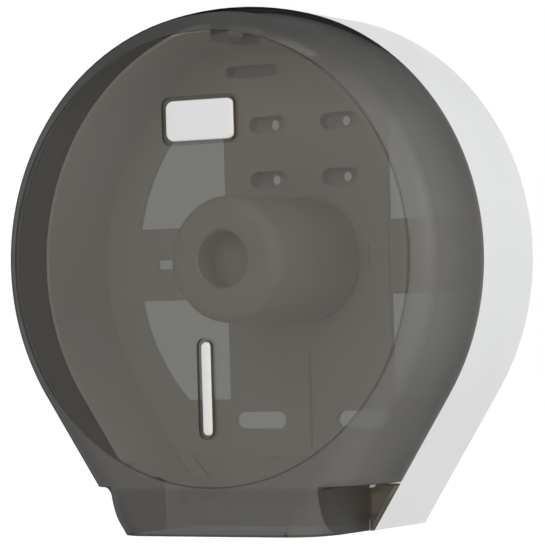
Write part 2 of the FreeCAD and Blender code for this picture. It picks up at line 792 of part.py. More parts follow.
def make_hinge_cap(label, side):
    """Smoked plate on the rim of a lower corner, in front of the hinge."""
    body = new_body(label)
    sketch = new_sketch(body, "XZ_Plane", "base_depth")
    loop(sketch, [(side + "cap_inside", "-bottom_drop"), (side + "bottom_half", "-bottom_drop"),
                  (side + rim_side("cap_top"), "-cap_top"),
                  (side + "(lug_outside + recess_corner)", "-cap_top"),
                  (side + "cap_inside", "-(cap_top + cap_corner_drop)")])
    extrude(body, sketch, "cap_wall")


def rim_side(drop):
    """Half width over the straight side walls at a drop below the spool axis."""
    return "((rim_radius - %s * sin(flank_angle)) / cos(flank_angle))" % drop


def panel_details(body):
    """Raised centre, quarter windows, slots, holes and ribs of the back panel."""
    sketch = new_sketch(body, "XZ_Plane", "hollow_depth")
    rectangle(sketch, "-window_inside", "window_inside", "-pad_bottom", "pad_top")
    extrude(body, sketch, "(panel_wall + pad_rise)")
    sketch = new_sketch(body, "XZ_Plane", "panel_front")
    rectangle(sketch, "-guide_rib_width / 2", "guide_rib_width / 2", "-guide_rib_bottom", "-guide_rib_top")
    extrude(body, sketch, "(pad_rise + guide_rib_rise)")

    # Blocks and ribs behind the panel
    sketch = new_sketch(body, "XZ_Plane")
    circle(sketch, "0", "0", "centre_pad_radius")
    for side in ("", "-"):
        for level in ("slot_upper", "slot_lower"):
            obround(sketch, side + "slot_side", level, "(slot_length + slot_block * 2)",
                    "(slot_width + slot_block * 2)")
        obround(sketch, side + "hanger_side", "hanger_top", "(hanger_length + slot_block * 2)",
                "(hanger_width + slot_block * 2)")
    extrude(body, sketch, "(hollow_depth + panel_wall / 2)")
    sketch = new_sketch(body, "XZ_Plane")
    rib = "rear_rib_wall / 2"
    rectangle(sketch, "-" + rib, rib, "(centre_pad_radius - rear_rib_wall)", "(rear_radius - skirt_wall / 2)")
    across = "window_inside"
    shelf = "-(pad_bottom + rear_rib_wall)"
    low = "-(bottom_drop - base_wall / 2)"
    loop(sketch, [("-" + rib, low), (rib, low), (rib, shelf), (across, shelf), (across, "-pad_bottom"),
                  (rib, "-pad_bottom"), (rib, "(rear_rib_wall - centre_pad_radius)"),
                  ("-" + rib, "(rear_rib_wall - centre_pad_radius)"), ("-" + rib, "-pad_bottom"),
                  ("-" + across, "-pad_bottom"), ("-" + across, shelf), ("-" + rib, shelf)])
    extrude(body, sketch, "(hollow_depth + panel_wall / 2)")

    # Sunk slots of the wall screws, and the blind upper pair
    sketch = new_sketch(body, "XZ_Plane", "pad_front")
    for side in ("", "-"):
        for level in ("slot_upper", "slot_lower"):
            obround(sketch, side + "slot_side", level, "slot_length", "slot_width")
        obround(sketch, side + "hanger_side", "hanger_top", "hanger_length", "hanger_width")
    extrude(body, sketch, "(pad_front - slot_floor)", adds=False)

    # Everything that goes right through
    sketch = new_sketch(body, "XZ_Plane", "wide_cut")
    for right in (True, False):
        for upper in (True, False):
            window_outline(sketch, right, upper)
    for side in ("", "-"):
        for level in ("slot_upper", "slot_lower"):
            circle(sketch, side + "slot_side", level, "wall_screw_radius")
        obround(sketch, side + "drain_side", "-drain_low", "drain_length", "drain_width")
        oblong(sketch, side + "side_hole_centre", "side_hole_length", "side_hole_width")
        oblong(sketch, side + "hook_centre", "hook_slot_width", "hook_slot_length")
    extrude(body, sketch, "(wide_cut + overrun)", adds=False)


def oblong(sketch, centre, width, height):
    """A rectangle centred beside the spool axis."""
    rectangle(sketch, "(%s - %s / 2)" % (centre, width), "(%s + %s / 2)" % (centre, width),
              "-%s / 2" % height, "%s / 2" % height)


def make_tear_bar():
    """Toothed bar across the mouth, with a stiffening ledge and two screw holes."""
    body = new_body("tear_bar")
    half = "(fork_inside - bar_end_gap)"
    back = "-bar_back"
    front = "(-bar_back - bar_thickness)"
    sketch = new_sketch(body, "YZ_Plane")
    inner = "(bar_ledge_depth - bar_back)"
    loop(sketch, [(front, "-bar_bottom"), (back, "-(bar_bottom - tooth_depth)"),
                  (back, "-(bar_top + bar_ledge)"), (inner, "-(bar_top + bar_ledge)"),
                  (inner, "-bar_top"), (front, "-bar_top")])
    extrude(body, sketch, "(%s * 2)" % half, both=True)

    # The ledge ends beside the tabs
    sketch = new_sketch(body, "XZ_Plane", "bar_back")
    for side in ("", "-"):
        rectangle(sketch, side + "(fork_inside - tab_width - side_gap)", side + "(fork_inside)",
                  "-(bar_top + bar_ledge + overrun)", "(overrun - bar_top)")
    extrude(body, sketch, "(bar_ledge_depth + overrun)", adds=False)
    sketch = new_sketch(body, "XZ_Plane", "(bar_back + bar_thickness)")
    for side in ("", "-"):
        circle(sketch, side + "bar_screw_side", "-bar_screw_drop", "bar_screw_radius")
    extrude(body, sketch, "(bar_thickness + overrun)", adds=False)

    # Teeth, cut one notch at a time along the lower edge
    sketch = new_sketch(body, "XZ_Plane", "(bar_back + bar_thickness + overrun)")
    start = "-(floor(%s / tooth_pitch) * tooth_pitch)" % half
    low = "-(bar_bottom + tooth_depth / 2)"
    loop(sketch, [("(%s - tooth_pitch * 3 / 4)" % start, low), ("(%s + tooth_pitch * 3 / 4)" % start, low),
                  (start, "-(bar_bottom - tooth_depth)")])
    notch = extrude(body, sketch, "(bar_thickness + overrun * 2)", adds=False)
    row = body.newObject("PartDesign::LinearPattern", "tear_bar_teeth")
    row.Originals = [notch]
    row.Direction = (sketch, ["H_Axis"])
    row.Mode = "Spacing"
    row.setExpression("Offset", sized("tooth_pitch"))
    row.setExpression("Occurrences", sized("floor(%s / tooth_pitch) * 2 + 1" % half))
    finish(body, row, False)


def make_bar_screw(label, side):
    """Slotted pan-head screw that holds one end of the tear bar."""
    body = new_body(label)
    sketch = new_sketch(body, "XY_Plane")
    head = "bar_screw_head"
    loop(sketch, [("0", "-" + head),
                  ("(bar_screw_head_radius - %s / 2)" % head, "-" + head, "(%s / 2)" % head, 1),
                  ("bar_screw_head_radius", "-%s / 2" % head), ("bar_screw_head_radius", "0"),
                  ("bar_screw_radius", "0"), ("bar_screw_radius", "(bar_screw_length - bar_screw_radius)"),
                  ("0", "bar_screw_length")])
    turn(body, sketch)
    sketch = new_sketch(body, "XZ_Plane", head)
    rectangle(sketch, "-driver_length / 2", "driver_length / 2", "-driver_width / 2", "driver_width / 2")
    extrude(body, sketch, "driver_depth", adds=False)
    place(body, side + "bar_screw_side", "-(bar_back + bar_thickness)", "-bar_screw_drop")


def place(body, x, y, z):
    """Put a body that is drawn about its own origin in its place."""
    for axis, text in (("x", x), ("y", y), ("z", z)):
        if text != "0":
            body.setExpression("Placement.Base." + axis, sized(text))


def make_hinge_pin(label, right):
    """Headed pin through fork and lug, its tip in the boss of the side wall."""
    body = new_body(label)
    side = "" if right else "-"
    sketch = new_sketch(body, "XY_Plane")
    head = side + "(fork_inside - pin_head_length)"
    seat = side + "fork_inside"
    tip = side + "pin_depth"
    bevel = side + "(pin_depth - pin_tip_bevel)"
    loop(sketch, [(head, "0"), (tip, "0"), (tip, "(pin_radius - pin_tip_bevel)"), (bevel, "pin_radius"),
                  (seat, "pin_radius"), (seat, "pin_head_radius"), (head, "pin_head_radius")])
    turn(body, sketch, axis="H_Axis")
    place(body, "0", "-hinge_depth", "-hinge_drop")


def make_core_spool():
    """Tube that carries the roll core: blind round recess in front, bearing and ribs inside."""
    body = new_body("core_spool")
    front = "-spool_front"
    rear = "-spool_rear"
    bore = "(journal_radius + journal_clearance)"
    sleeve = "(journal_radius + journal_clearance + cup_wall)"
    cup = "-cup_back"
    mouth_floor = "(mouth_depth - spool_front)"
    sleeve_end = "(bearing_length - cup_back)"
    inner = "(spool_radius - spool_wall)"
    cup_x = "(mouth_radius + cup_wall)"
    groove_x = "(journal_radius + ring_reach + ring_play)"
    groove_front = "-(ring_front + (ring_groove - ring_thickness) / 2 + ring_play)"
    groove_back = "(ring_play - ring_back)"
    sketch = new_sketch(body, "XY_Plane")
    loop(sketch, [
        ("0", mouth_floor), ("mouth_radius", mouth_floor),
        ("mouth_radius", "(%s + mouth_edge)" % front, "mouth_edge", -1),
        ("(mouth_radius + mouth_edge)", front),
        ("(spool_radius - spool_edge)", front, "spool_edge", 1),
        ("spool_radius", "(%s + spool_edge)" % front),
        ("spool_radius", rear), (inner, rear),
        (inner, "(%s + spool_edge)" % front, "(spool_edge - spool_wall)", -1),
        ("(spool_radius - spool_edge)", "(%s + spool_wall)" % front), (cup_x, "(%s + spool_wall)" % front),
        (cup_x, cup), (sleeve, cup), (sleeve, sleeve_end), (bore, sleeve_end),
        (bore, groove_back), (groove_x, groove_back), (groove_x, groove_front), (bore, groove_front),
        (bore, cup), ("0", cup)])
    turn(body, sketch)

    # Ribs between the bearing sleeve and the tube
    sketch = new_sketch(body, "XZ_Plane", "(cup_back - bearing_length + cup_wall)")
    rectangle(sketch, "(%s - cup_wall / 4)" % sleeve, "(%s + spool_wall / 2)" % inner,
              "-spool_rib / 2", "spool_rib / 2")
    rib = extrude(body, sketch, "(bearing_length - cup_wall / 2)")
    ring = body.newObject("PartDesign::PolarPattern", "core_spool_ribs")
    ring.Originals = [rib]
    ring.Axis = (sketch, ["N_Axis"])
    ring.Angle = 360
    ring.setExpression("Occurrences", sized("spool_rib_count"))
    finish(body, ring, True)


def make_hub_post():
    """Fixed post: broad collar on the panel, tapered tube, journal, and two hooks through the panel."""
    body = new_body("hub_post")
    base = "-pad_front"
    flange = "(-pad_front - post_flange)"
    collar_top = "(-pad_front - post_flange - collar_height)"
    collar_x = "(spool_radius - spool_wall - collar_clearance)"
    taper_end = "(bearing_length - cup_back + post_wall)"
    tip = "(ring_rim - cup_back)"
    neck = "(journal_radius - ring_groove_depth)"
    inner = "(journal_radius - post_wall)"
    sketch = new_sketch(body, "XY_Plane")
    loop(sketch, [
        ("(post_root_radius - post_wall)", base), (collar_x, base), (collar_x, collar_top),
        ("(%s - post_wall)" % collar_x, collar_top), ("(%s - post_wall)" % collar_x, flange),
        ("post_root_radius", flange), ("journal_radius", taper_end),
        ("journal_radius", "-ring_back"), (neck, "-ring_back"),
        (neck, "-(ring_front + (ring_groove - ring_thickness) / 2)"),
        ("journal_radius", "-(ring_front + (ring_groove - ring_thickness) / 2)"),
        ("journal_radius", "(%s + post_tip_bevel)" % tip), ("(journal_radius - post_tip_bevel)", tip),
        (inner, tip), (inner, taper_end)])
    turn(body, sketch)

    # Ears beside the collar, and hooks through the panel that snap behind it
    sketch = new_sketch(body, "XZ_Plane", "pad_front")
    for side in ("", "-"):
        rectangle(sketch, "%s(%s - post_wall)" % (side, collar_x), side + "ear_reach",
                  "-ear_width / 2", "ear_width / 2")
    extrude(body, sketch, "ear_thickness")
    sketch = new_sketch(body, "XY_Plane", "-(hook_slot_length / 2 - hook_gap)")
    for side in ("", "-"):
        outer = "%s(hook_centre + hook_slot_width / 2 - hook_gap)" % side
        shank = "%s(hook_centre + hook_slot_width / 2 - hook_gap - hook_wall)" % side
        barb = "%s(hook_centre + hook_slot_width / 2 - hook_gap + hook_barb)" % side
        catch = "(hook_gap - hollow_depth)"
        root = "(-pad_front - ear_thickness / 2)"
        loop(sketch, [(shank, root), (outer, root), (outer, catch), (barb, catch),
                      (barb, "(%s + hook_gap)" % catch),
                      (outer, "(%s + hook_barb_length)" % catch), (shank, "(%s + hook_barb_length)" % catch)])
    extrude(body, sketch, "(hook_slot_length - hook_gap * 2)")


def make_spool_ring():
    """Split ring in the groove of the post that keeps the spool on."""
    body = new_body("spool_ring")
    sketch = new_sketch(body, "XY_Plane")
    back = "-(ring_back + (ring_groove - ring_thickness) / 2)"
    inside = "(journal_radius - ring_groove_depth + insert_gap)"
    outside = "(journal_radius + ring_reach)"
    rectangle(sketch, inside, outside, "-ring_front", back)
    turn(body, sketch)
    sketch = new_sketch(body, "XZ_Plane", "(ring_front + overrun)")
    rectangle(sketch, "-ring_slit / 2", "ring_slit / 2", "0", "rim_radius")
    extrude(body, sketch, "(overrun * 3)", adds=False)


def make_lock_housing():
    """Flanged round housing of the key lock, with a sunk bore for the barrel."""
    body = new_body("lock_housing")
    bore = "(barrel_radius + barrel_clearance)"
    counter = "(barrel_head_radius + barrel_clearance)"
    shoulder = "-(barrel_head + barrel_clearance)"
    sketch = new_sketch(body, "XZ_Plane")
    loop(sketch, [(bore, "-lock_length"), ("lock_radius", "-lock_length"), ("lock_radius", "-lock_flange"),
                  ("lock_flange_radius", "-lock_flange"),
                  ("lock_flange_radius", "-lock_flange / 2", "(lock_flange / 2)", 1),
                  ("(lock_flange_radius - lock_flange / 2)", "0"), (counter, "0"), (counter, shoulder),
                  (bore, shoulder)])
    turn(body, sketch)
    place_lock(body)


def place_lock(body):
    """Put a piece of the key lock on the lock's own axis."""
    place(body, "0", "-lock_depth", "lock_top")


def make_lock_washer():
    """Flat washer under the boss."""
    body = new_body("lock_washer")
    sketch = new_sketch(body, "XZ_Plane")
    inside = "(lock_radius + lock_hole_gap)"
    rectangle(sketch, inside, "washer_radius", "-(lock_boss_drop + washer_thickness)", "-lock_boss_drop")
    turn(body, sketch)
    place_lock(body)


def make_lock_nut():
    """Hexagon nut that clamps the housing."""
    body = new_body("lock_nut")
    sketch = new_sketch(body, "XY_Plane", "-(lock_boss_drop + washer_thickness + nut_height)")
    across = "(nut_flats / sqrt(3))"
    half = "(nut_flats / sqrt(3) / 2)"
    flat = "(nut_flats / 2)"
    loop(sketch, [(across, "0"), (half, flat), ("-" + half, flat), ("-" + across, "0"),
                  ("-" + half, "-" + flat), (half, "-" + flat)])
    circle(sketch, "0", "0", "(lock_radius + insert_gap)")
    extrude(body, sketch, "nut_height")
    place_lock(body)


def make_lock_barrel():
    """Turning key barrel with key slot on top and square tang below."""
    body = new_body("lock_barrel")
    sketch = new_sketch(body, "XZ_Plane")
    low = "-(lock_length + cam_drop)"
    loop(sketch, [("0", low), ("barrel_radius", low), ("barrel_radius", "-barrel_head"),
                  ("barrel_head_radius", "-barrel_head"), ("barrel_head_radius", "0"), ("0", "0")])
    turn(body, sketch)
    sketch = new_sketch(body, "XY_Plane")
    rectangle(sketch, "-key_width / 2", "key_width / 2", "-key_length / 2", "key_length / 2")
    extrude(body, sketch, "key_depth", adds=False)
    sketch = new_sketch(body, "XY_Plane", "-(lock_length + cam_drop + cam_thickness - tang_gap)")
    rectangle(sketch, "-tang_side / 2", "tang_side / 2", "-tang_side / 2", "tang_side / 2")
    extrude(body, sketch, "(cam_thickness - tang_gap + cam_drop)")
    sketch = new_sketch(body, "XY_Plane", "-(lock_length + cam_drop + cam_thickness)")
    circle(sketch, "0", "0", "cam_screw_radius")
    extrude(body, sketch, "cam_screw_length", adds=False, back=True)
    place_lock(body)


def make_lock_cam():
    """Flat steel cam with a square hole and one arm, shown unlocked."""
    body = new_body("lock_cam")
    sketch = new_sketch(body, "XY_Plane", "-(lock_length + cam_drop + cam_thickness)")
    side = "(cam_width / 2)"
    neck = "-sqrt(cam_hub_radius ^ 2 - (cam_width / 2) ^ 2)"
    bend = "(cam_corner - cam_reach)"
    flat = "(cam_width / 2 - cam_corner)"
    loop(sketch, [("-" + side, neck), ("-" + side, bend, "cam_corner", 1), ("-" + flat, "-cam_reach"),
                  (flat, "-cam_reach", "cam_corner", 1), (side, bend), (side, neck, "cam_hub_radius", 1),
                  ("0", "cam_hub_radius", "cam_hub_radius", 1)])
    rectangle(sketch, "-(tang_side / 2 + tang_gap)", "(tang_side / 2 + tang_gap)",
              "-(tang_side / 2 + tang_gap)", "(tang_side / 2 + tang_gap)")
    extrude(body, sketch, "cam_thickness")
    place_lock(body)


def make_cam_screw():
    """Slotted screw that holds the cam on the tang."""
    body = new_body("lock_cam_screw")
    sketch = new_sketch(body, "XZ_Plane")
    seat = "-(lock_length + cam_drop + cam_thickness)"
    low = "(%s - cam_screw_head)" % seat
    tip = "(%s + cam_screw_length)" % seat
    loop(sketch, [("0", low),
                  ("(cam_screw_head_radius - cam_screw_head / 2)", low, "(cam_screw_head / 2)", 1),
                  ("cam_screw_head_radius", "(%s + cam_screw_head / 2)" % low),
                  ("cam_screw_head_radius", seat),
                  ("cam_screw_radius", seat), ("cam_screw_radius", "(%s - cam_screw_radius / 2)" % tip),
                  ("(cam_screw_radius / 2)", tip), ("0", tip)])
    turn(body, sketch)
    sketch = new_sketch(body, "XY_Plane", low)
    rectangle(sketch, "-driver_width / 2", "driver_width / 2", "-driver_length / 2", "driver_length / 2")
    extrude(body, sketch, "driver_depth", adds=False, back=True)
    place_lock(body)


make_front_cover()
make_insert("badge_plate", badge_outline)
make_insert("level_strip", strip_outline)
make_rear_housing()
make_hinge_cap("hinge_cap_left", "-")
make_hinge_cap("hinge_cap_right", "")
make_tear_bar()
make_bar_screw("tear_bar_screw_left", "-")
make_bar_screw("tear_bar_screw_right", "")
make_hinge_pin("hinge_pin_left", False)
make_hinge_pin("hinge_pin_right", True)
make_core_spool()
make_hub_post()
make_spool_ring()
make_lock_housing()
make_lock_washer()
make_lock_nut()
make_lock_barrel()
make_lock_cam()
make_cam_screw()

doc.recompute()
bodies = [item for item in doc.Objects if item.TypeId == "PartDesign::Body"]
for item in doc.Objects:
    if "Invalid" in item.State or "Error" in item.State:
        raise RuntimeError("%s is not sound: %s" % (item.Label, item.State))
os.makedirs("parts", exist_ok=True)
for body in bodies:
    if body.Shape.isNull() or not body.Shape.isValid() or len(body.Shape.Solids) != 1:
        raise RuntimeError("%s is not one sound solid" % body.Label)
    body.Shape.exportStep("parts/%s.step" % body.Label)
    print("%-22s %9.1f mm3" % (body.Label, body.Shape.Volume))
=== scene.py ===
"""Jumbo toilet roll dispenser: its finishes and fine pieces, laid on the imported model."""
import math

import bmesh
import bpy
from bpy.props import FloatProperty, FloatVectorProperty, IntProperty, PointerProperty
from mathutils import Matrix, Vector


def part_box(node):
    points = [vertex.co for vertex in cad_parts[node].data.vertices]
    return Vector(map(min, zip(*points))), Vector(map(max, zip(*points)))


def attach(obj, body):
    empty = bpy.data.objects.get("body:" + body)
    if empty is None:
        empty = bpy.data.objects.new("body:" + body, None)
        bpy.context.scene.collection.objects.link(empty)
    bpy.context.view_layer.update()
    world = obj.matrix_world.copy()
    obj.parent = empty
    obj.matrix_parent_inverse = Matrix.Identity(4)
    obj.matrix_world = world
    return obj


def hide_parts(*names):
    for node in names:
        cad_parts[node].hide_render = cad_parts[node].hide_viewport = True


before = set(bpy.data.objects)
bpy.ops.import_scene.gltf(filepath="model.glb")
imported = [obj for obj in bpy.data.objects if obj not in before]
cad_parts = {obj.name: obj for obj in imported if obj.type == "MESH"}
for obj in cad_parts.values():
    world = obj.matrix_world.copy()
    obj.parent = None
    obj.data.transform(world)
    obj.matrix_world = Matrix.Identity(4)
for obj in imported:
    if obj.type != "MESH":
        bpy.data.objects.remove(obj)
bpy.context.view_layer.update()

bl_info = {
    "name": "Jumbo toilet roll dispenser",
    "version": (1, 0, 0),
    "blender": (4, 5, 0),
    "location": "3D View > Sidebar > Dispenser",
    "description": "Finishes and fine pieces of a jumbo toilet roll dispenser",
    "category": "Object",
}

# Distances under which points are one point, or lie at one level, in metres
SAME_POINT = 0.000001
SAME_CAD_POINT = 0.000002
SAME_LEVEL = 0.0001

# Angles between two faces, in degrees
FLAT = 1.0
SHARP = 40
SHADED_SHARP = 34

# Rings of an insert: turns of the rolled edge in degrees, shares of the way to the middle,
# and the smallest corner and half width that the innermost ring may have, in metres
ROLL_TURNS = (30, 60, 90)
CROWN_SHARES = (0.12, 0.3, 0.5, 0.7, 0.88)
LEAST_CORNER = 0.0002
LEAST_HALF = 0.0004

# Widths of the soft lines between the zones of the cover, in metres
RIM_LINE = 0.0008
STEP_LINE = 0.0006
FRAME_LINE = 0.0003
ARROW_LINE = 0.0002
POCKET_LINE = 0.0002
FOOT_LINE = 0.0004
MOUTH_LINE = 0.003
CATCH_LINE = 0.001

# Half width of the dark ring, the catch zone's reach past the disc, and the run of the left flank's
# painted light
RING_HALF = 0.00045
CATCH_REACH = 0.003
LEFT_RUN = 0.03

# Powers that say how fast the cover changes as it is seen at more of a slant
DISC_SLANT = 1.6
SATIN_SLANT = 2.6
TONE_SLANT = 0.9

# Range that most values of a noise node lie in
NOISE_LOW, NOISE_HIGH = 0.32, 0.68

# Sockets of the Mix node, where several share a name
NUMBER_A, NUMBER_B, NUMBER_OUT = 2, 3, 0
COLOUR_A, COLOUR_B, COLOUR_OUT = 6, 7, 2

# Camera that saw the photograph: metres, degrees and millimetres
CAMERA_AIM = (0.008276, -0.0637, -0.007527)
CAMERA_ACROSS = 29.871
CAMERA_UP = -0.812
CAMERA_ROLL = -1.595
CAMERA_LENS = 217.13
CAMERA_SENSOR = 36.0

# Lamps and floor, in metres
KEY_SPOT, KEY_SIZE = (0.5, -2.4, 0.9), (1.8, 1.4)
FILL_SPOT, FILL_SIZE = (2.4, -0.3, 0.5), (1.4, 1.8)
FLOOR_HALF = 6


# ---------------------------------------------------------------- sizes and colours

class PlasticLook(bpy.types.PropertyGroup):
    """Colours of the moulded plastics."""

    shell: FloatVectorProperty(
        name="Shell white", description="Colour of the base against the wall",
        subtype="COLOR", size=3, min=0, max=1, default=(0.815, 0.822, 0.828))
    insert: FloatVectorProperty(
        name="Insert white", description="Colour of the badge plate and the level strip",
        subtype="COLOR", size=3, min=0, max=1, default=(0.82, 0.825, 0.83))
    inner: FloatVectorProperty(
        name="Inner white", description="Colour of the core spool and its post",
        subtype="COLOR", size=3, min=0, max=1, default=(0.725, 0.74, 0.72))
    bar: FloatVectorProperty(
        name="Bar white", description="Colour of the toothed tear bar",
        subtype="COLOR", size=3, min=0, max=1, default=(0.78, 0.785, 0.775))
    grain: FloatProperty(
        name="Grain", description="Size of the fine grain left by the mould",
        subtype="DISTANCE", unit="LENGTH", min=0.0001, max=0.003, default=0.0006)


class PieceSizes(bpy.types.PropertyGroup):
    """Form of the inserts, the hinge caps and the edges of the small pieces."""

    inset: FloatProperty(
        name="Inset", description="Dark gap between an insert and the inside of its frame",
        subtype="DISTANCE", unit="LENGTH", min=0.0, max=0.002, default=0.0007)
    corner: FloatProperty(
        name="Corner", description="Radius of the badge plate's corners",
        subtype="DISTANCE", unit="LENGTH", min=0.0005, max=0.01, default=0.0045)
    edge: FloatProperty(
        name="Edge", description="Radius of the rolled edge round an insert's front face",
        subtype="DISTANCE", unit="LENGTH", min=0.0001, max=0.002, default=0.0006)
    crown: FloatProperty(
        name="Crown", description="How far the middle of an insert stands proud of its edge",
        subtype="DISTANCE", unit="LENGTH", min=0.0, max=0.002, default=0.0003)
    seat: FloatProperty(
        name="Seat gap", description="Film of glue between the back of an insert and its seat",
        subtype="DISTANCE", unit="LENGTH", min=0.0, max=0.0005, default=0.00005)
    arc: IntProperty(
        name="Arc steps", description="Steps in each rounded corner", min=3, max=32, default=10)
    cap_rise: FloatProperty(
        name="Cap rise", description="How much higher a hinge cap is at its back than at its front",
        subtype="DISTANCE", unit="LENGTH", min=0.0, max=0.0014, default=0.0013)
    bar_edge: FloatProperty(
        name="Bar edge", description="Width of the tear bar's softened edges",
        subtype="DISTANCE", unit="LENGTH", min=0.00005, max=0.001, default=0.00025)
    screw_edge: FloatProperty(
        name="Screw edge", description="Width of the bar screws' softened edges",
        subtype="DISTANCE", unit="LENGTH", min=0.00005, max=0.001, default=0.00012)
    pin_edge: FloatProperty(
        name="Pin edge", description="Width of the hinge pins' softened edges",
        subtype="DISTANCE", unit="LENGTH", min=0.00005, max=0.001, default=0.0002)
    lock_edge: FloatProperty(
        name="Lock edge", description="Width of the softened edges of the lock's pieces",
        subtype="DISTANCE", unit="LENGTH", min=0.00005, max=0.001, default=0.00015)


class SmokeLook(bpy.types.PropertyGroup):
    """Tint and depth of the see-through plastic, and the light and shade painted on it."""

    tint: FloatVectorProperty(
        name="Smoke tint", description="Colour that the cover gives to what shows through it",
        subtype="COLOR", size=3, min=0, max=1, default=(0.995, 1.0, 0.965))
    lamp_tint: FloatVectorProperty(
        name="Lamp tint", description="Colour that one face gives to the light inside",
        subtype="COLOR", size=3, min=0, max=1, default=(1.0, 0.952, 0.898))
    body: FloatVectorProperty(
        name="Smoke body", description="Colour of the dye in the clear disc",
        subtype="COLOR", size=3, min=0, max=1, default=(0.055, 0.054, 0.053))
    satin_body: FloatVectorProperty(
        name="Satin body", description="Colour of the dye in the satin rim round the disc",
        subtype="COLOR", size=3, min=0, max=1, default=(0.166, 0.163, 0.158))
    clearness: FloatProperty(
        name="Clearness", description="Share of light that one face of the disc lets through",
        subtype="FACTOR", min=0.05, max=0.95, default=0.405)
    satin_clearness: FloatProperty(
        name="Satin clearness", description="Share of light that one face of the rim lets through",
        subtype="FACTOR", min=0.05, max=0.95, default=0.225)
    # On raised frames, the ring at the disc's edge and the bottom edge the cover is made less clear
    # and darker; in the lower pockets this is painted shade.
    edge_loss: FloatProperty(
        name="Edge loss", description="Least share of light that a raised edge keeps back",
        subtype="FACTOR", min=0, max=1, default=0.72)
    edge_dark_and_pocket_shade: FloatProperty(
        name="Edge darkness", description="Share by which the dye is darker on raised edges",
        subtype="FACTOR", min=0, max=1, default=0.75)
    arrow_share: FloatProperty(
        name="Arrow share", description="Share of the edge darkness that the arrow gets",
        subtype="FACTOR", min=0, max=1, default=0.35)
    # Painted shade over the paper mouth.
    mouth_painted_shade: FloatProperty(
        name="Mouth darkness", description="Share by which the dye is darker over the paper mouth",
        subtype="FACTOR", min=0, max=1, default=0.26)
    # Painted shade at the top of the rim: the cover is made darker and less clear there.
    crest_painted_shade: FloatProperty(
        name="Crest darkness", description="Share by which the dye is darker at the top of the rim",
        subtype="FACTOR", min=0, max=1, default=0.5)
    crest_shade_loss: FloatProperty(
        name="Crest loss", description="Share of light that the top of the rim keeps back",
        subtype="FACTOR", min=0, max=1, default=0.94)
    catch_clear: FloatProperty(
        name="Catch clearness", description="Share by which the catch tongue is clearer",
        subtype="FACTOR", min=0, max=1, default=0.85)
    # Painted light and shade on the rim: a darker rounded edge beside the disc, a lighter flank
    # that dims towards its rear, and a lighter left flank.
    roll_painted_shade: FloatProperty(
        name="Roll tone", description="Tone of the rounded edge beside the disc",
        subtype="FACTOR", min=0, max=2, default=0.62)
    flank_painted_light: FloatProperty(
        name="Flank tone", description="Tone of the flank next to the rounded edge",
        subtype="FACTOR", min=0, max=2, default=1.08)
    flank_light_fall: FloatProperty(
        name="Flank fall", description="Share of its tone that the flank keeps at its rear",
        subtype="FACTOR", min=0, max=2, default=0.82)
    left_painted_light: FloatProperty(
        name="Left tone", description="Tone of the left flank next to the right one",
        subtype="FACTOR", min=0, max=2, default=1.1)
    hem_tone: FloatProperty(
        name="Hem tone", description="Tone of the rear edge, where light gathers in the plastic",
        subtype="FACTOR", min=0, max=2, default=1.55)


class CoverPlaces(bpy.types.PropertyGroup):
    """Where the zones of the cover lie: depths from the wall, heights from the spool axis."""

    disc: FloatProperty(
        name="Disc radius", description="Where the clear disc ends and the satin rim starts",
        subtype="DISTANCE", unit="LENGTH", min=0.05, max=0.2, default=0.12225)
    disc_back: FloatProperty(
        name="Disc back", description="Depth of the disc's inside face",
        subtype="DISTANCE", unit="LENGTH", min=0.05, max=0.2, default=0.1175)
    disc_front: FloatProperty(
        name="Disc front", description="Depth of the disc's outside face",
        subtype="DISTANCE", unit="LENGTH", min=0.05, max=0.2, default=0.1217)
    raised: FloatProperty(
        name="Frame depth", description="Depth beyond which a face belongs to a raised frame",
        subtype="DISTANCE", unit="LENGTH", min=0.05, max=0.2, default=0.1220)
    flank_front: FloatProperty(
        name="Flank front", description="Depth where the rounded edge runs into the flank",
        subtype="DISTANCE", unit="LENGTH", min=0.05, max=0.2, default=0.1050)
    flank_rear: FloatProperty(
        name="Flank rear", description="Depth where the flank is darkest",
        subtype="DISTANCE", unit="LENGTH", min=0.02, max=0.2, default=0.0696)
    hem_front: FloatProperty(
        name="Hem front", description="Depth where the paler rear edge starts",
        subtype="DISTANCE", unit="LENGTH", min=0.02, max=0.2, default=0.0678)
    hem_rear: FloatProperty(
        name="Hem rear", description="Depth where the rear edge is palest",
        subtype="DISTANCE", unit="LENGTH", min=0.02, max=0.2, default=0.0646)
    crest: FloatProperty(
        name="Crest", description="Height where the rim is darkest",
        subtype="DISTANCE", unit="LENGTH", min=0.05, max=0.2, default=0.1170)
    crest_run: FloatProperty(
        name="Crest run", description="Height over which the rim darkens towards its crest",
        subtype="DISTANCE", unit="LENGTH", min=0.005, max=0.1, default=0.042)
    catch: FloatProperty(
        name="Catch line", description="Height where the clearer catch tongue starts",
        subtype="DISTANCE", unit="LENGTH", min=0.05, max=0.2, default=0.1050)
    arrow: FloatProperty(
        name="Arrow line", description="Drop below which a raised face is the arrow's",
        subtype="DISTANCE", unit="LENGTH", min=0.05, max=0.2, default=0.1020)
    pocket_side: FloatProperty(
        name="Pocket side", description="Distance of the lower pockets from the middle plane",
        subtype="DISTANCE", unit="LENGTH", min=0.01, max=0.2, default=0.0642)
    pocket_top: FloatProperty(
        name="Pocket top", description="Drop to the top face of the pockets",
        subtype="DISTANCE", unit="LENGTH", min=0.05, max=0.2, default=0.1217)
    mouth: FloatProperty(
        name="Mouth line", description="Drop where the darker paper mouth starts",
        subtype="DISTANCE", unit="LENGTH", min=0.05, max=0.2, default=0.1245)
    foot: FloatProperty(
        name="Foot line", description="Drop where the dark bottom edge starts",
        subtype="DISTANCE", unit="LENGTH", min=0.05, max=0.2, default=0.1471)


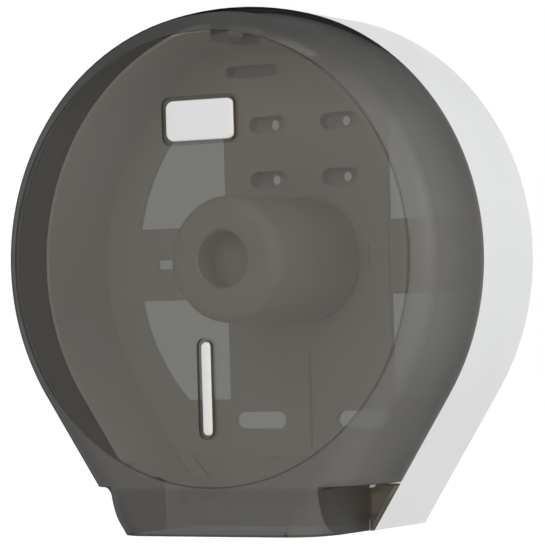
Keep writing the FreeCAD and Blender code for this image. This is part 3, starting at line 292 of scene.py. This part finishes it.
class MetalLook(bpy.types.PropertyGroup):
    """Colours of the steel and plated pieces."""

    steel: FloatVectorProperty(
        name="Steel", description="Colour of the pins and the screws",
        subtype="COLOR", size=3, min=0, max=1, default=(0.56, 0.56, 0.55))
    spring: FloatVectorProperty(
        name="Spring steel", description="Colour of the push-on ring",
        subtype="COLOR", size=3, min=0, max=1, default=(0.33, 0.34, 0.36))
    plated: FloatVectorProperty(
        name="Plating", description="Colour of the plated lock",
        subtype="COLOR", size=3, min=0, max=1, default=(0.66, 0.65, 0.62))


class StageLook(bpy.types.PropertyGroup):
    """Light, floor and camera."""

    key: FloatProperty(
        name="Key lamp", description="Power of the large lamp in front",
        subtype="POWER", unit="POWER", min=0, max=500, default=15.0)
    fill: FloatProperty(
        name="Fill lamp", description="Power of the lamp on the right",
        subtype="POWER", unit="POWER", min=0, max=500, default=16.0)
    surround: FloatProperty(
        name="Surround", description="Strength of the even light from all round",
        subtype="FACTOR", min=0, max=2, default=0.56)
    floor: FloatVectorProperty(
        name="Floor", description="Colour of the floor",
        subtype="COLOR", size=3, min=0, max=1, default=(0.92, 0.92, 0.92))
    floor_drop: FloatProperty(
        name="Floor drop", description="From the spool axis to the floor, clear of the open cover",
        subtype="DISTANCE", unit="LENGTH", min=0.15, max=2, default=0.212)
    floor_lift: FloatProperty(
        name="Floor lift", description="White added to what the camera sees of the floor",
        subtype="FACTOR", min=0, max=2, default=0.45)
    distance: FloatProperty(
        name="Camera distance", description="From the camera to the point that it aims at",
        subtype="DISTANCE", unit="LENGTH", min=0.5, max=10, default=1.8004)


# ---------------------------------------------------------------- node trees

def blank_material(name):
    """A material with an empty node tree."""
    material = bpy.data.materials.new(name)
    material.use_nodes = True
    material.node_tree.nodes.clear()
    return material, material.node_tree


def put(tree, kind, inputs=None, **settings):
    """One node with its settings; an input is a value or the socket that feeds it."""
    node = tree.nodes.new(kind)
    for name, value in settings.items():
        setattr(node, name, value)
    for name, value in (inputs or {}).items():
        if isinstance(value, bpy.types.NodeSocket):
            tree.links.new(value, node.inputs[name])
        else:
            node.inputs[name].default_value = value
    return node


def shade(colour, level=1.0):
    """A colour at a level, with its alpha."""
    return tuple(level * part for part in colour) + (1.0,)


def sums(tree, operation, *values):
    """Result of one sum on values or sockets."""
    node = put(tree, "ShaderNodeMath", dict(enumerate(values)), operation=operation)
    return node.outputs[0]


def product(tree, *values):
    """All the values multiplied together."""
    result = values[0]
    for value in values[1:]:
        result = sums(tree, "MULTIPLY", result, value)
    return result


def most(tree, *values):
    """The largest of the values."""
    result = values[0]
    for value in values[1:]:
        result = sums(tree, "MAXIMUM", result, value)
    return result


def between(tree, value, low, high, start=0.0, end=1.0):
    """Start below low, end above high and a straight ramp between them."""
    reach = put(tree, "ShaderNodeMapRange", {
        "Value": value, "From Min": low, "From Max": high, "To Min": start, "To Max": end})
    return reach.outputs["Result"]


def over(tree, value, line, width):
    """1 where the value is over a soft line, 0 where it is under."""
    return between(tree, value, line, line + width)


def under(tree, value, line, width):
    """1 where the value is under a soft line, 0 where it is over."""
    return between(tree, value, line, line + width, 1.0, 0.0)


def less(tree, zone, share):
    """1 outside a zone, and 1 less the share inside it."""
    return sums(tree, "SUBTRACT", 1.0, product(tree, zone, share))


def mixed(tree, share, first, second):
    """Mix of two numbers by a share."""
    mix = put(tree, "ShaderNodeMix", {"Factor": share, NUMBER_A: first, NUMBER_B: second})
    return mix.outputs[NUMBER_OUT]


def blend(tree, share, low, high):
    """Mix of two colours by a share."""
    mix = put(tree, "ShaderNodeMix", {
        "Factor": share, COLOUR_A: shade(low), COLOUR_B: shade(high)}, data_type="RGBA")
    return mix.outputs[COLOUR_OUT]


def scaled(tree, colour, share):
    """A colour times a share."""
    node = put(tree, "ShaderNodeVectorMath", {0: colour, "Scale": share}, operation="SCALE")
    return node.outputs["Vector"]


def spread(tree, where, scale, low, high):
    """A soft cloud of values between low and high."""
    cloud = put(tree, "ShaderNodeTexNoise", {"Vector": where, "Scale": scale, "Detail": 2.0})
    return between(tree, cloud.outputs["Fac"], NOISE_LOW, NOISE_HIGH, low, high)


def clouded(tree, where, colour, scale, low=0.975, high=1.0):
    """The colour, a little uneven as moulded plastic is."""
    cloud = put(tree, "ShaderNodeTexNoise", {"Vector": where, "Scale": scale, "Detail": 3.0})
    ramp = put(tree, "ShaderNodeValToRGB", {"Fac": cloud.outputs["Fac"]})
    first, last = ramp.color_ramp.elements
    first.position, last.position = 0.35, 0.65
    first.color, last.color = shade(colour, low), shade(colour, high)
    return ramp.outputs["Color"]


def mould_grain(tree, size, height, waves):
    """Bump of the mould's grain, on the long soft waves that shrinking plastic has."""
    where = put(tree, "ShaderNodeTexCoord").outputs["Object"]
    grain = put(tree, "ShaderNodeTexNoise", {"Vector": where, "Scale": 1 / size, "Detail": 2.0})
    bump = put(tree, "ShaderNodeBump", {
        "Height": grain.outputs["Fac"], "Strength": 0.5, "Distance": height})
    wave = put(tree, "ShaderNodeTexNoise", {"Vector": where, "Scale": 26.0, "Detail": 1.0})
    soft = put(tree, "ShaderNodeBump", {
        "Height": wave.outputs["Fac"], "Strength": 0.6, "Distance": waves,
        "Normal": bump.outputs["Normal"]})
    return where, soft.outputs["Normal"]


# ---------------------------------------------------------------- finishes

def moulded_plastic(name, colour, grain, rough):
    """Opaque moulded plastic: fine grain, soft waves, uneven gloss and tone."""
    material, tree = blank_material(name)
    where, normal = mould_grain(tree, grain, height=0.000012, waves=0.00004)
    shader = put(tree, "ShaderNodeBsdfPrincipled", {
        "Base Color": clouded(tree, where, colour, scale=14.0),
        "Roughness": spread(tree, where, scale=40.0, low=rough - 0.05, high=rough + 0.06),
        "IOR": 1.49, "Normal": normal})
    put(tree, "ShaderNodeOutputMaterial", {"Surface": shader.outputs["BSDF"]})
    return material


def cover_zones(tree, where, look, place):
    """Shares from 0 to 1 that tell which zones of the cover a point lies in."""
    spot = put(tree, "ShaderNodeSeparateXYZ", {"Vector": where}).outputs
    flat = put(tree, "ShaderNodeCombineXYZ", {"X": spot["X"], "Z": spot["Z"]}).outputs["Vector"]
    radius = put(tree, "ShaderNodeVectorMath", {0: flat}, operation="LENGTH").outputs["Value"]
    side = sums(tree, "ABSOLUTE", spot["X"])

    rim = over(tree, radius, place.disc - RIM_LINE / 2, RIM_LINE)
    behind = over(tree, spot["Y"], -place.disc_back, STEP_LINE)
    raised = under(tree, spot["Y"], -place.raised, FRAME_LINE)
    frames = product(tree, raised, between(
        tree, spot["Z"], -place.arrow, ARROW_LINE - place.arrow, look.arrow_share, 1.0))
    ring = sums(tree, "COMPARE", radius, place.disc, RING_HALF)
    foot = under(tree, spot["Z"], -place.foot, FOOT_LINE)
    # The pockets in the cover's lower corners carry painted shade.
    pocket = product(
        tree, over(tree, side, place.pocket_side - POCKET_LINE, POCKET_LINE),
        under(tree, spot["Z"], -place.pocket_top, POCKET_LINE))
    catch = product(
        tree, over(tree, spot["Z"], place.catch - CATCH_LINE, CATCH_LINE),
        under(tree, radius, place.disc + CATCH_REACH, CATCH_LINE), behind)
    return {
        "spot": spot,
        "rim": rim,
        "satin": most(tree, rim, behind),
        "edges": most(tree, frames, ring, foot, pocket),
        # The mouth zone carries painted shade.
        "mouth": under(tree, spot["Z"], -place.mouth, MOUTH_LINE),
        # The crest zone carries painted shade at the top of the rim.
        "crest": over(tree, spot["Z"], place.crest - place.crest_run, place.crest_run),
        "catch": catch,
    }


def slant_loss(tree, slant, clearness, power):
    """Light that a clearness keeps back: its plain share face on, more of it at a slant."""
    return between(tree, slant, 0.0, 1.0, 1.0 - clearness, 1.0 - clearness ** power)


def smoke_loss(tree, slant, zones, look):
    """Share of the light that one face of the cover keeps back."""
    disc = slant_loss(tree, slant, look.clearness, DISC_SLANT)
    satin = slant_loss(tree, slant, look.satin_clearness, SATIN_SLANT)
    # Edges, pockets and the crest of the rim keep more back, so that the darker body shows: painted
    # shade in the pockets and at the crest.
    loss = most(
        tree, mixed(tree, zones["satin"], disc, satin),
        product(tree, zones["edges"], look.edge_loss),
        product(tree, zones["crest"], look.crest_shade_loss, zones["rim"]))
    return product(tree, loss, less(tree, zones["catch"], look.catch_clear))


def smoke_tone_and_painted_light(tree, slant, zones, look, place):
    """How light the cover looks at a point, next to its dye's own colour: darker at a slant, with
    light and shade painted on by zone.
    """
    depth = zones["spot"]["Y"]
    deep = sums(tree, "POWER", sums(tree, "SUBTRACT", 1.0, slant), TONE_SLANT)
    # Painted light and shade by depth: the rounded edge darker, the flank lighter and dimming
    # towards its rear, the hem paler where light gathers.
    roll = between(
        tree, depth, -place.disc_front, -place.flank_front, look.roll_painted_shade, look.flank_painted_light)
    flank = between(tree, depth, -place.flank_front, -place.flank_rear, 1.0, look.flank_light_fall)
    hem = between(tree, depth, -place.hem_front, -place.hem_rear, 1.0, look.hem_tone)
    # Painted light: the left flank lighter than the right.
    left = between(
        tree, zones["spot"]["X"], -place.disc, LEFT_RUN - place.disc, look.left_painted_light, 1.0)
    # Painted shade in the pockets, over the mouth and at the crest, with the darker edge lines.
    return product(
        tree, deep, less(tree, zones["edges"], look.edge_dark_and_pocket_shade),
        less(tree, zones["mouth"], look.mouth_painted_shade),
        less(tree, zones["crest"], look.crest_painted_shade), roll, flank, hem, left)


def smoked_plastic(name, look, place, grain):
    """Dyed see-through plastic: a clear disc, a satin rim and darker raised edges, with light and
    shade painted on the rim, over the mouth and in the lower pockets.

    Lamps and reflected light reach what is inside."""
    material, tree = blank_material(name)
    where, normal = mould_grain(tree, grain, height=0.0000004, waves=0.00003)
    zones = cover_zones(tree, where, look, place)
    slant = put(tree, "ShaderNodeLayerWeight", {"Blend": 0.5}).outputs["Facing"]
    # The tone holds the painted light and shade.
    tone = smoke_tone_and_painted_light(tree, slant, zones, look, place)
    rough = mixed(
        tree, zones["satin"], spread(tree, where, scale=55.0, low=0.16, high=0.24),
        spread(tree, where, scale=55.0, low=0.40, high=0.50))
    dye = put(tree, "ShaderNodeBsdfPrincipled", {
        "Base Color": scaled(tree, blend(tree, zones["satin"], look.body, look.satin_body), tone),
        "Roughness": rough,
        "Specular IOR Level": between(tree, slant, 0.2, 0.8, 0.35, 0.0),
        "IOR": 1.5, "Normal": normal})
    clear = put(tree, "ShaderNodeBsdfTransparent", {"Color": shade(look.tint)})
    seen = put(tree, "ShaderNodeMixShader", {
        0: smoke_loss(tree, slant, zones, look), 1: clear.outputs["BSDF"], 2: dye.outputs["BSDF"]})
    path = put(tree, "ShaderNodeLightPath").outputs
    inside = most(tree, path["Is Shadow Ray"], path["Is Diffuse Ray"], path["Is Glossy Ray"])
    lamp = put(tree, "ShaderNodeBsdfTransparent", {"Color": shade(look.lamp_tint)})
    surface = put(tree, "ShaderNodeMixShader", {
        0: inside, 1: seen.outputs["Shader"], 2: lamp.outputs["BSDF"]})
    put(tree, "ShaderNodeOutputMaterial", {"Surface": surface.outputs["Shader"]})
    return material


def bright_metal(name, colour, rough, marks_scale, marks_height, along=(1.0, 1.0, 1.0)):
    """Metal with fine tool marks and an uneven polish."""
    material, tree = blank_material(name)
    where = put(tree, "ShaderNodeTexCoord").outputs["Object"]
    lay = put(tree, "ShaderNodeMapping", {"Vector": where, "Scale": along}).outputs["Vector"]
    marks = put(tree, "ShaderNodeTexNoise", {"Vector": lay, "Scale": marks_scale, "Detail": 4.0})
    bump = put(tree, "ShaderNodeBump", {
        "Height": marks.outputs["Fac"], "Strength": 0.6, "Distance": marks_height})
    shader = put(tree, "ShaderNodeBsdfPrincipled", {
        "Base Color": clouded(tree, where, colour, scale=220.0, low=0.88),
        "Metallic": 1.0,
        "Roughness": spread(
            tree, lay, scale=marks_scale * 0.3, low=rough - 0.06, high=rough + 0.08),
        "Normal": bump.outputs["Normal"]})
    put(tree, "ShaderNodeOutputMaterial", {"Surface": shader.outputs["BSDF"]})
    return material


def coat(node, material):
    """Gives a carried-over node its material."""
    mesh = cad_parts[node].data
    mesh.materials.clear()
    mesh.materials.append(material)


# ---------------------------------------------------------------- mesh pieces

def node_mesh(node):
    """A workable copy of a CAD node's mesh, with its doubled points joined."""
    bm = bmesh.new()
    bm.from_mesh(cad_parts[node].data)
    bmesh.ops.remove_doubles(bm, verts=bm.verts, dist=SAME_CAD_POINT)
    return bm


def finish_piece(bm, name, body, slot, material, *nodes):
    """Turns a worked mesh into a piece that rides on its body and stands for CAD nodes."""
    bmesh.ops.remove_doubles(bm, verts=bm.verts, dist=SAME_POINT)
    bmesh.ops.recalc_face_normals(bm, faces=bm.faces)
    mesh = bpy.data.meshes.new(name)
    bm.to_mesh(mesh)
    bm.free()
    mesh.materials.append(material)
    mesh.shade_smooth()
    mesh.set_sharp_from_angle(angle=math.radians(SHADED_SHARP))
    piece = bpy.data.objects.new(name, mesh)
    bpy.context.scene.collection.objects.link(piece)
    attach(piece, body)
    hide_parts(*nodes)


def softened(node, body, slot, material, width):
    """A rigid piece with its sharp edges rolled over, as a mould or a tumbler leaves them."""
    bm = node_mesh(node)
    bmesh.ops.dissolve_limit(
        bm, angle_limit=math.radians(FLAT), use_dissolve_boundaries=False,
        verts=bm.verts, edges=bm.edges)
    sharp = [edge for edge in bm.edges
             if edge.is_manifold and edge.calc_face_angle(0.0) > math.radians(SHARP)]
    bmesh.ops.bevel(
        bm, geom=sharp, offset=width, offset_type="OFFSET", segments=2, profile=0.5,
        affect="EDGES", clamp_overlap=True)
    finish_piece(bm, node + "_softened", body, slot, material, node)


def swept_cap(node, side, rise, material):
    """Smoked plate on the base's rim, whose top rises backwards under the swinging cover."""
    low, high = (Vector(end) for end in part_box(node))
    bm = node_mesh(node)
    foot = max(side * vert.co.x for vert in bm.verts if vert.co.z < low.z + SAME_LEVEL)
    tops = [vert for vert in bm.verts if vert.co.z > high.z - SAME_LEVEL]
    crest = max(side * vert.co.x for vert in tops)
    slope = (crest - foot) / (high.z - low.z)
    for vert in tops:
        if vert.co.y > high.y - SAME_LEVEL:
            if side * vert.co.x > crest - SAME_LEVEL:
                vert.co.x += side * slope * rise
            vert.co.z += rise
    bmesh.ops.triangulate(bm, faces=bm.faces)
    finish_piece(bm, node + "_swept", "base", "smoked_cover", material, node)


def rounded_loop(left, right, low, high, corner, steps):
    """Points of a rectangle with round corners, anticlockwise seen from the front."""
    points = []
    for x, z, start in ((right, high, 0), (left, high, 90), (left, low, 180), (right, low, 270)):
        side_x = x - corner if x == right else x + corner
        side_z = z - corner if z == high else z + corner
        for step in range(steps + 1):
            turn = math.radians(start + 90 * step / steps)
            points.append((side_x + corner * math.cos(turn), side_z + corner * math.sin(turn)))
    return points


def skin(bm, rings):
    """Faces between closed rings of points, with a face on each end."""
    rows = [[bm.verts.new(point) for point in ring] for ring in rings]
    for low, high in zip(rows, rows[1:]):
        for step in range(len(low)):
            after = (step + 1) % len(low)
            bm.faces.new((low[step], low[after], high[after], high[step]))
    bm.faces.new(rows[0])
    bm.faces.new(reversed(rows[-1]))


def plate_levels(back, front, reach, sizes):
    """Insets and depths of a plate's rings: straight side, rolled edge, domed front."""
    shoulder = front + sizes.crown + sizes.edge
    levels = [(0.0, back - sizes.seat), (0.0, shoulder)]
    for turn in map(math.radians, ROLL_TURNS):
        levels.append((sizes.edge * (1 - math.cos(turn)), shoulder - sizes.edge * math.sin(turn)))
    for share in CROWN_SHARES:
        inset = sizes.edge + (reach - sizes.edge) * share
        levels.append((inset, front + sizes.crown * (1 - share) ** 2))
    return levels


def crowned_plate(node, sizes, corner, material):
    """Flat-backed plate in a frame on the cover, with a crowned front.

    A corner that is larger than fits makes its short ends half round."""
    low, high = (Vector(end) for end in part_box(node))
    left, right = low.x + sizes.inset, high.x - sizes.inset
    bottom, top = low.z + sizes.inset, high.z - sizes.inset
    half_x, half_z = (right - left) / 2, (top - bottom) / 2
    corner = min(corner, half_x - SAME_LEVEL)
    reach = min(half_x, half_z) - LEAST_HALF
    bm = bmesh.new()
    rings = []
    for inset, depth in plate_levels(high.y, low.y, reach, sizes):
        loop = rounded_loop(
            left + inset, right - inset, bottom + inset, top - inset,
            max(corner - inset, LEAST_CORNER), sizes.arc)
        rings.append([(x, depth, z) for x, z in loop])
    skin(bm, rings)
    finish_piece(bm, node + "_crowned", "cover", "white_insert", material, node)


# ---------------------------------------------------------------- operators

class DISPENSER_OT_rear_housing(bpy.types.Operator):
    """White base against the wall: side wall, back panel, hinge forks and lock seat"""

    bl_idname = "dispenser.rear_housing"
    bl_label = "Rear housing"

    def execute(self, context):
        look = context.scene.dispenser_plastic
        coat("rear_housing", moulded_plastic("shell_white", look.shell, look.grain, rough=0.36))
        return {"FINISHED"}


class DISPENSER_OT_front_cover(bpy.types.Operator):
    """Smoked cover with its raised disc and two frames, and the smoked caps behind its corners"""

    bl_idname = "dispenser.front_cover"
    bl_label = "Front cover and hinge caps"

    def execute(self, context):
        scene = context.scene
        smoke = smoked_plastic(
            "smoked_cover", scene.dispenser_smoke, scene.dispenser_places,
            scene.dispenser_plastic.grain)
        coat("front_cover", smoke)
        rise = scene.dispenser_sizes.cap_rise
        # The caps take the cover's smoke, with its painted pocket shade.
        swept_cap("hinge_cap_left", -1, rise, smoke)
        swept_cap("hinge_cap_right", 1, rise, smoke)
        return {"FINISHED"}


class DISPENSER_OT_inserts(bpy.types.Operator):
    """Bare badge plate and the level strip, in their frames on the cover"""

    bl_idname = "dispenser.inserts"
    bl_label = "Badge plate and level strip"

    def execute(self, context):
        look = context.scene.dispenser_plastic
        sizes = context.scene.dispenser_sizes
        white = moulded_plastic("insert_white", look.insert, look.grain, rough=0.30)
        crowned_plate("badge_plate", sizes, sizes.corner, white)
        crowned_plate("level_strip", sizes, math.inf, white)
        return {"FINISHED"}


class DISPENSER_OT_spool(bpy.types.Operator):
    """Core spool, the post that it turns on and the ring that keeps it there"""

    bl_idname = "dispenser.spool"
    bl_label = "Core spool and post"

    def execute(self, context):
        look = context.scene.dispenser_plastic
        metal = context.scene.dispenser_metal
        white = moulded_plastic("inner_white", look.inner, look.grain, rough=0.40)
        coat("core_spool", white)
        coat("hub_post", white)
        coat("spool_ring", bright_metal(
            "spring_ring", metal.spring, rough=0.34, marks_scale=900.0, marks_height=0.00001))
        return {"FINISHED"}


class DISPENSER_OT_tear_bar(bpy.types.Operator):
    """Toothed bar across the mouth, with its two screws"""

    bl_idname = "dispenser.tear_bar"
    bl_label = "Tear bar and screws"

    def execute(self, context):
        look = context.scene.dispenser_plastic
        metal = context.scene.dispenser_metal
        sizes = context.scene.dispenser_sizes
        white = moulded_plastic("bar_white", look.bar, look.grain, rough=0.33)
        softened("tear_bar", "base", "white_bar", white, sizes.bar_edge)
        steel = bright_metal(
            "screw_steel", metal.steel, rough=0.30, marks_scale=1500.0, marks_height=0.000008)
        for node in ("tear_bar_screw_left", "tear_bar_screw_right"):
            softened(node, "base", "screw_steel", steel, sizes.screw_edge)
        return {"FINISHED"}


class DISPENSER_OT_hinge_pins(bpy.types.Operator):
    """Two pins that the cover drops about"""

    bl_idname = "dispenser.hinge_pins"
    bl_label = "Hinge pins"

    def execute(self, context):
        metal = context.scene.dispenser_metal
        sizes = context.scene.dispenser_sizes
        steel = bright_metal(
            "pin_steel", metal.steel, rough=0.24, marks_scale=1100.0, marks_height=0.000006,
            along=(8.0, 1.0, 1.0))
        for node in ("hinge_pin_left", "hinge_pin_right"):
            softened(node, "base", "pin_steel", steel, sizes.pin_edge)
        return {"FINISHED"}


LOCK_PIECES = (
    ("lock_housing", "base", "lock_metal"),
    ("lock_washer", "base", "screw_steel"),
    ("lock_nut", "base", "screw_steel"),
    ("lock_barrel", "lock", "lock_metal"),
    ("lock_cam", "lock", "screw_steel"),
    ("lock_cam_screw", "lock", "screw_steel"),
)


class DISPENSER_OT_lock(bpy.types.Operator):
    """Key lock in the top wall: housing, washer, nut, barrel, cam and screw"""

    bl_idname = "dispenser.lock"
    bl_label = "Key lock"

    def execute(self, context):
        metal = context.scene.dispenser_metal
        sizes = context.scene.dispenser_sizes
        plated = bright_metal(
            "lock_plating", metal.plated, rough=0.22, marks_scale=1300.0, marks_height=0.000006)
        for node, body, slot in LOCK_PIECES:
            softened(node, body, slot, plated, sizes.lock_edge)
        return {"FINISHED"}


class DISPENSER_OT_stage(bpy.types.Operator):
    """Pale floor, soft lamps, white surround and the camera"""

    bl_idname = "dispenser.stage"
    bl_label = "Floor, light and camera"

    def execute(self, context):
        scene = context.scene
        look = scene.dispenser_stage
        lay_floor(look.floor, look.floor_drop, look.floor_lift)
        light_surround(scene, look.surround)
        soft_lamp("lamp_key", KEY_SPOT, KEY_SIZE, look.key)
        soft_lamp("lamp_fill", FILL_SPOT, FILL_SIZE, look.fill)
        place_camera(scene, look.distance)
        scene.view_settings.view_transform = "Standard"
        return {"FINISHED"}


# ---------------------------------------------------------------- stage

def lay_floor(colour, drop, lift):
    """Wide plane under the open cover. The camera sees it white, with the shadow kept."""
    mesh = bpy.data.meshes.new("floor")
    corners = [(x * FLOOR_HALF, y * FLOOR_HALF, -drop)
               for x, y in ((-1, -1), (1, -1), (1, 1), (-1, 1))]
    mesh.from_pydata(corners, [], [(0, 1, 2, 3)])
    floor = bpy.data.objects.new("floor", mesh)
    bpy.context.scene.collection.objects.link(floor)
    material, tree = blank_material("floor_pale")
    where = put(tree, "ShaderNodeTexCoord").outputs["Object"]
    shader = put(tree, "ShaderNodeBsdfPrincipled", {
        "Base Color": clouded(tree, where, colour, scale=3.0, low=0.99), "Roughness": 0.9})
    strength = product(tree, seen_plainly(tree), lift)
    glow = put(tree, "ShaderNodeEmission", {"Color": shade((1, 1, 1)), "Strength": strength})
    both = put(tree, "ShaderNodeAddShader", {
        0: shader.outputs["BSDF"], 1: glow.outputs["Emission"]})
    put(tree, "ShaderNodeOutputMaterial", {"Surface": both.outputs["Shader"]})
    mesh.materials.append(material)


def seen_plainly(tree):
    """1 for what the camera, gloss and clear plastic show, 0 for what lights the object."""
    path = put(tree, "ShaderNodeLightPath").outputs
    return most(tree, path["Is Camera Ray"], path["Is Glossy Ray"], path["Is Transmission Ray"])


def light_surround(scene, level):
    """World that gives an even light, and looks white wherever it is seen."""
    world = bpy.data.worlds.new("surround")
    world.use_nodes = True
    tree = world.node_tree
    tree.nodes.clear()
    strength = between(tree, seen_plainly(tree), 0.0, 1.0, level, 1.0)
    back = put(tree, "ShaderNodeBackground", {"Color": shade((1, 1, 1)), "Strength": strength})
    put(tree, "ShaderNodeOutputWorld", {"Surface": back.outputs["Background"]})
    scene.world = world


def soft_lamp(name, spot, size, power):
    """Rectangular lamp that aims at the spool axis."""
    lamp = bpy.data.lights.new(name, "AREA")
    lamp.shape = "RECTANGLE"
    lamp.size, lamp.size_y = size
    lamp.energy = power
    holder = bpy.data.objects.new(name, lamp)
    holder.location = spot
    holder.rotation_euler = (-Vector(spot)).to_track_quat("-Z", "Y").to_euler()
    bpy.context.scene.collection.objects.link(holder)


def place_camera(scene, distance):
    """Long lens, to the right of the dispenser and a little under its middle."""
    across, up, roll = map(math.radians, (CAMERA_ACROSS, CAMERA_UP, CAMERA_ROLL))
    back = Vector((
        math.sin(across) * math.cos(up), -math.cos(across) * math.cos(up), math.sin(up)))
    right = (-back).cross(Vector((0, 0, 1))).normalized()
    top = right.cross(-back)
    side = math.cos(roll) * right + math.sin(roll) * top
    head = -math.sin(roll) * right + math.cos(roll) * top
    lens = bpy.data.cameras.new("camera")
    lens.sensor_width = CAMERA_SENSOR
    lens.lens = CAMERA_LENS
    lens.clip_start = 0.05
    camera = bpy.data.objects.new("camera", lens)
    turn = Matrix((side, head, back)).transposed().to_4x4()
    camera.matrix_world = Matrix.Translation(Vector(CAMERA_AIM) + distance * back) @ turn
    scene.collection.objects.link(camera)
    scene.camera = camera


# ---------------------------------------------------------------- panel and registration

class DISPENSER_PT_pieces(bpy.types.Panel):
    """Lists the pieces and their looks in the sidebar"""

    bl_label = "Dispenser"
    bl_idname = "DISPENSER_PT_pieces"
    bl_space_type = "VIEW_3D"
    bl_region_type = "UI"
    bl_category = "Dispenser"

    def draw(self, context):
        for step in STEPS:
            self.layout.operator(step.bl_idname)
        for name, _ in LOOKS:
            look = getattr(context.scene, name)
            box = self.layout.box()
            for prop in look.bl_rna.properties:
                if prop.identifier not in ("rna_type", "name"):
                    box.prop(look, prop.identifier)


STEPS = (
    DISPENSER_OT_rear_housing,
    DISPENSER_OT_front_cover,
    DISPENSER_OT_inserts,
    DISPENSER_OT_spool,
    DISPENSER_OT_tear_bar,
    DISPENSER_OT_hinge_pins,
    DISPENSER_OT_lock,
    DISPENSER_OT_stage,
)
LOOKS = (
    ("dispenser_plastic", PlasticLook),
    ("dispenser_sizes", PieceSizes),
    ("dispenser_smoke", SmokeLook),
    ("dispenser_places", CoverPlaces),
    ("dispenser_metal", MetalLook),
    ("dispenser_stage", StageLook),
)


def register():
    for name, look in LOOKS:
        bpy.utils.register_class(look)
        setattr(bpy.types.Scene, name, PointerProperty(type=look))
    for piece in STEPS + (DISPENSER_PT_pieces,):
        bpy.utils.register_class(piece)


def unregister():
    for piece in reversed(STEPS + (DISPENSER_PT_pieces,)):
        bpy.utils.unregister_class(piece)
    for name, look in reversed(LOOKS):
        delattr(bpy.types.Scene, name)
        bpy.utils.unregister_class(look)


def main():
    """Registers the add-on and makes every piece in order."""
    register()
    for step in STEPS:
        group, action = step.bl_idname.split(".")
        getattr(getattr(bpy.ops, group), action)()


if __name__ == "__main__":
    main()
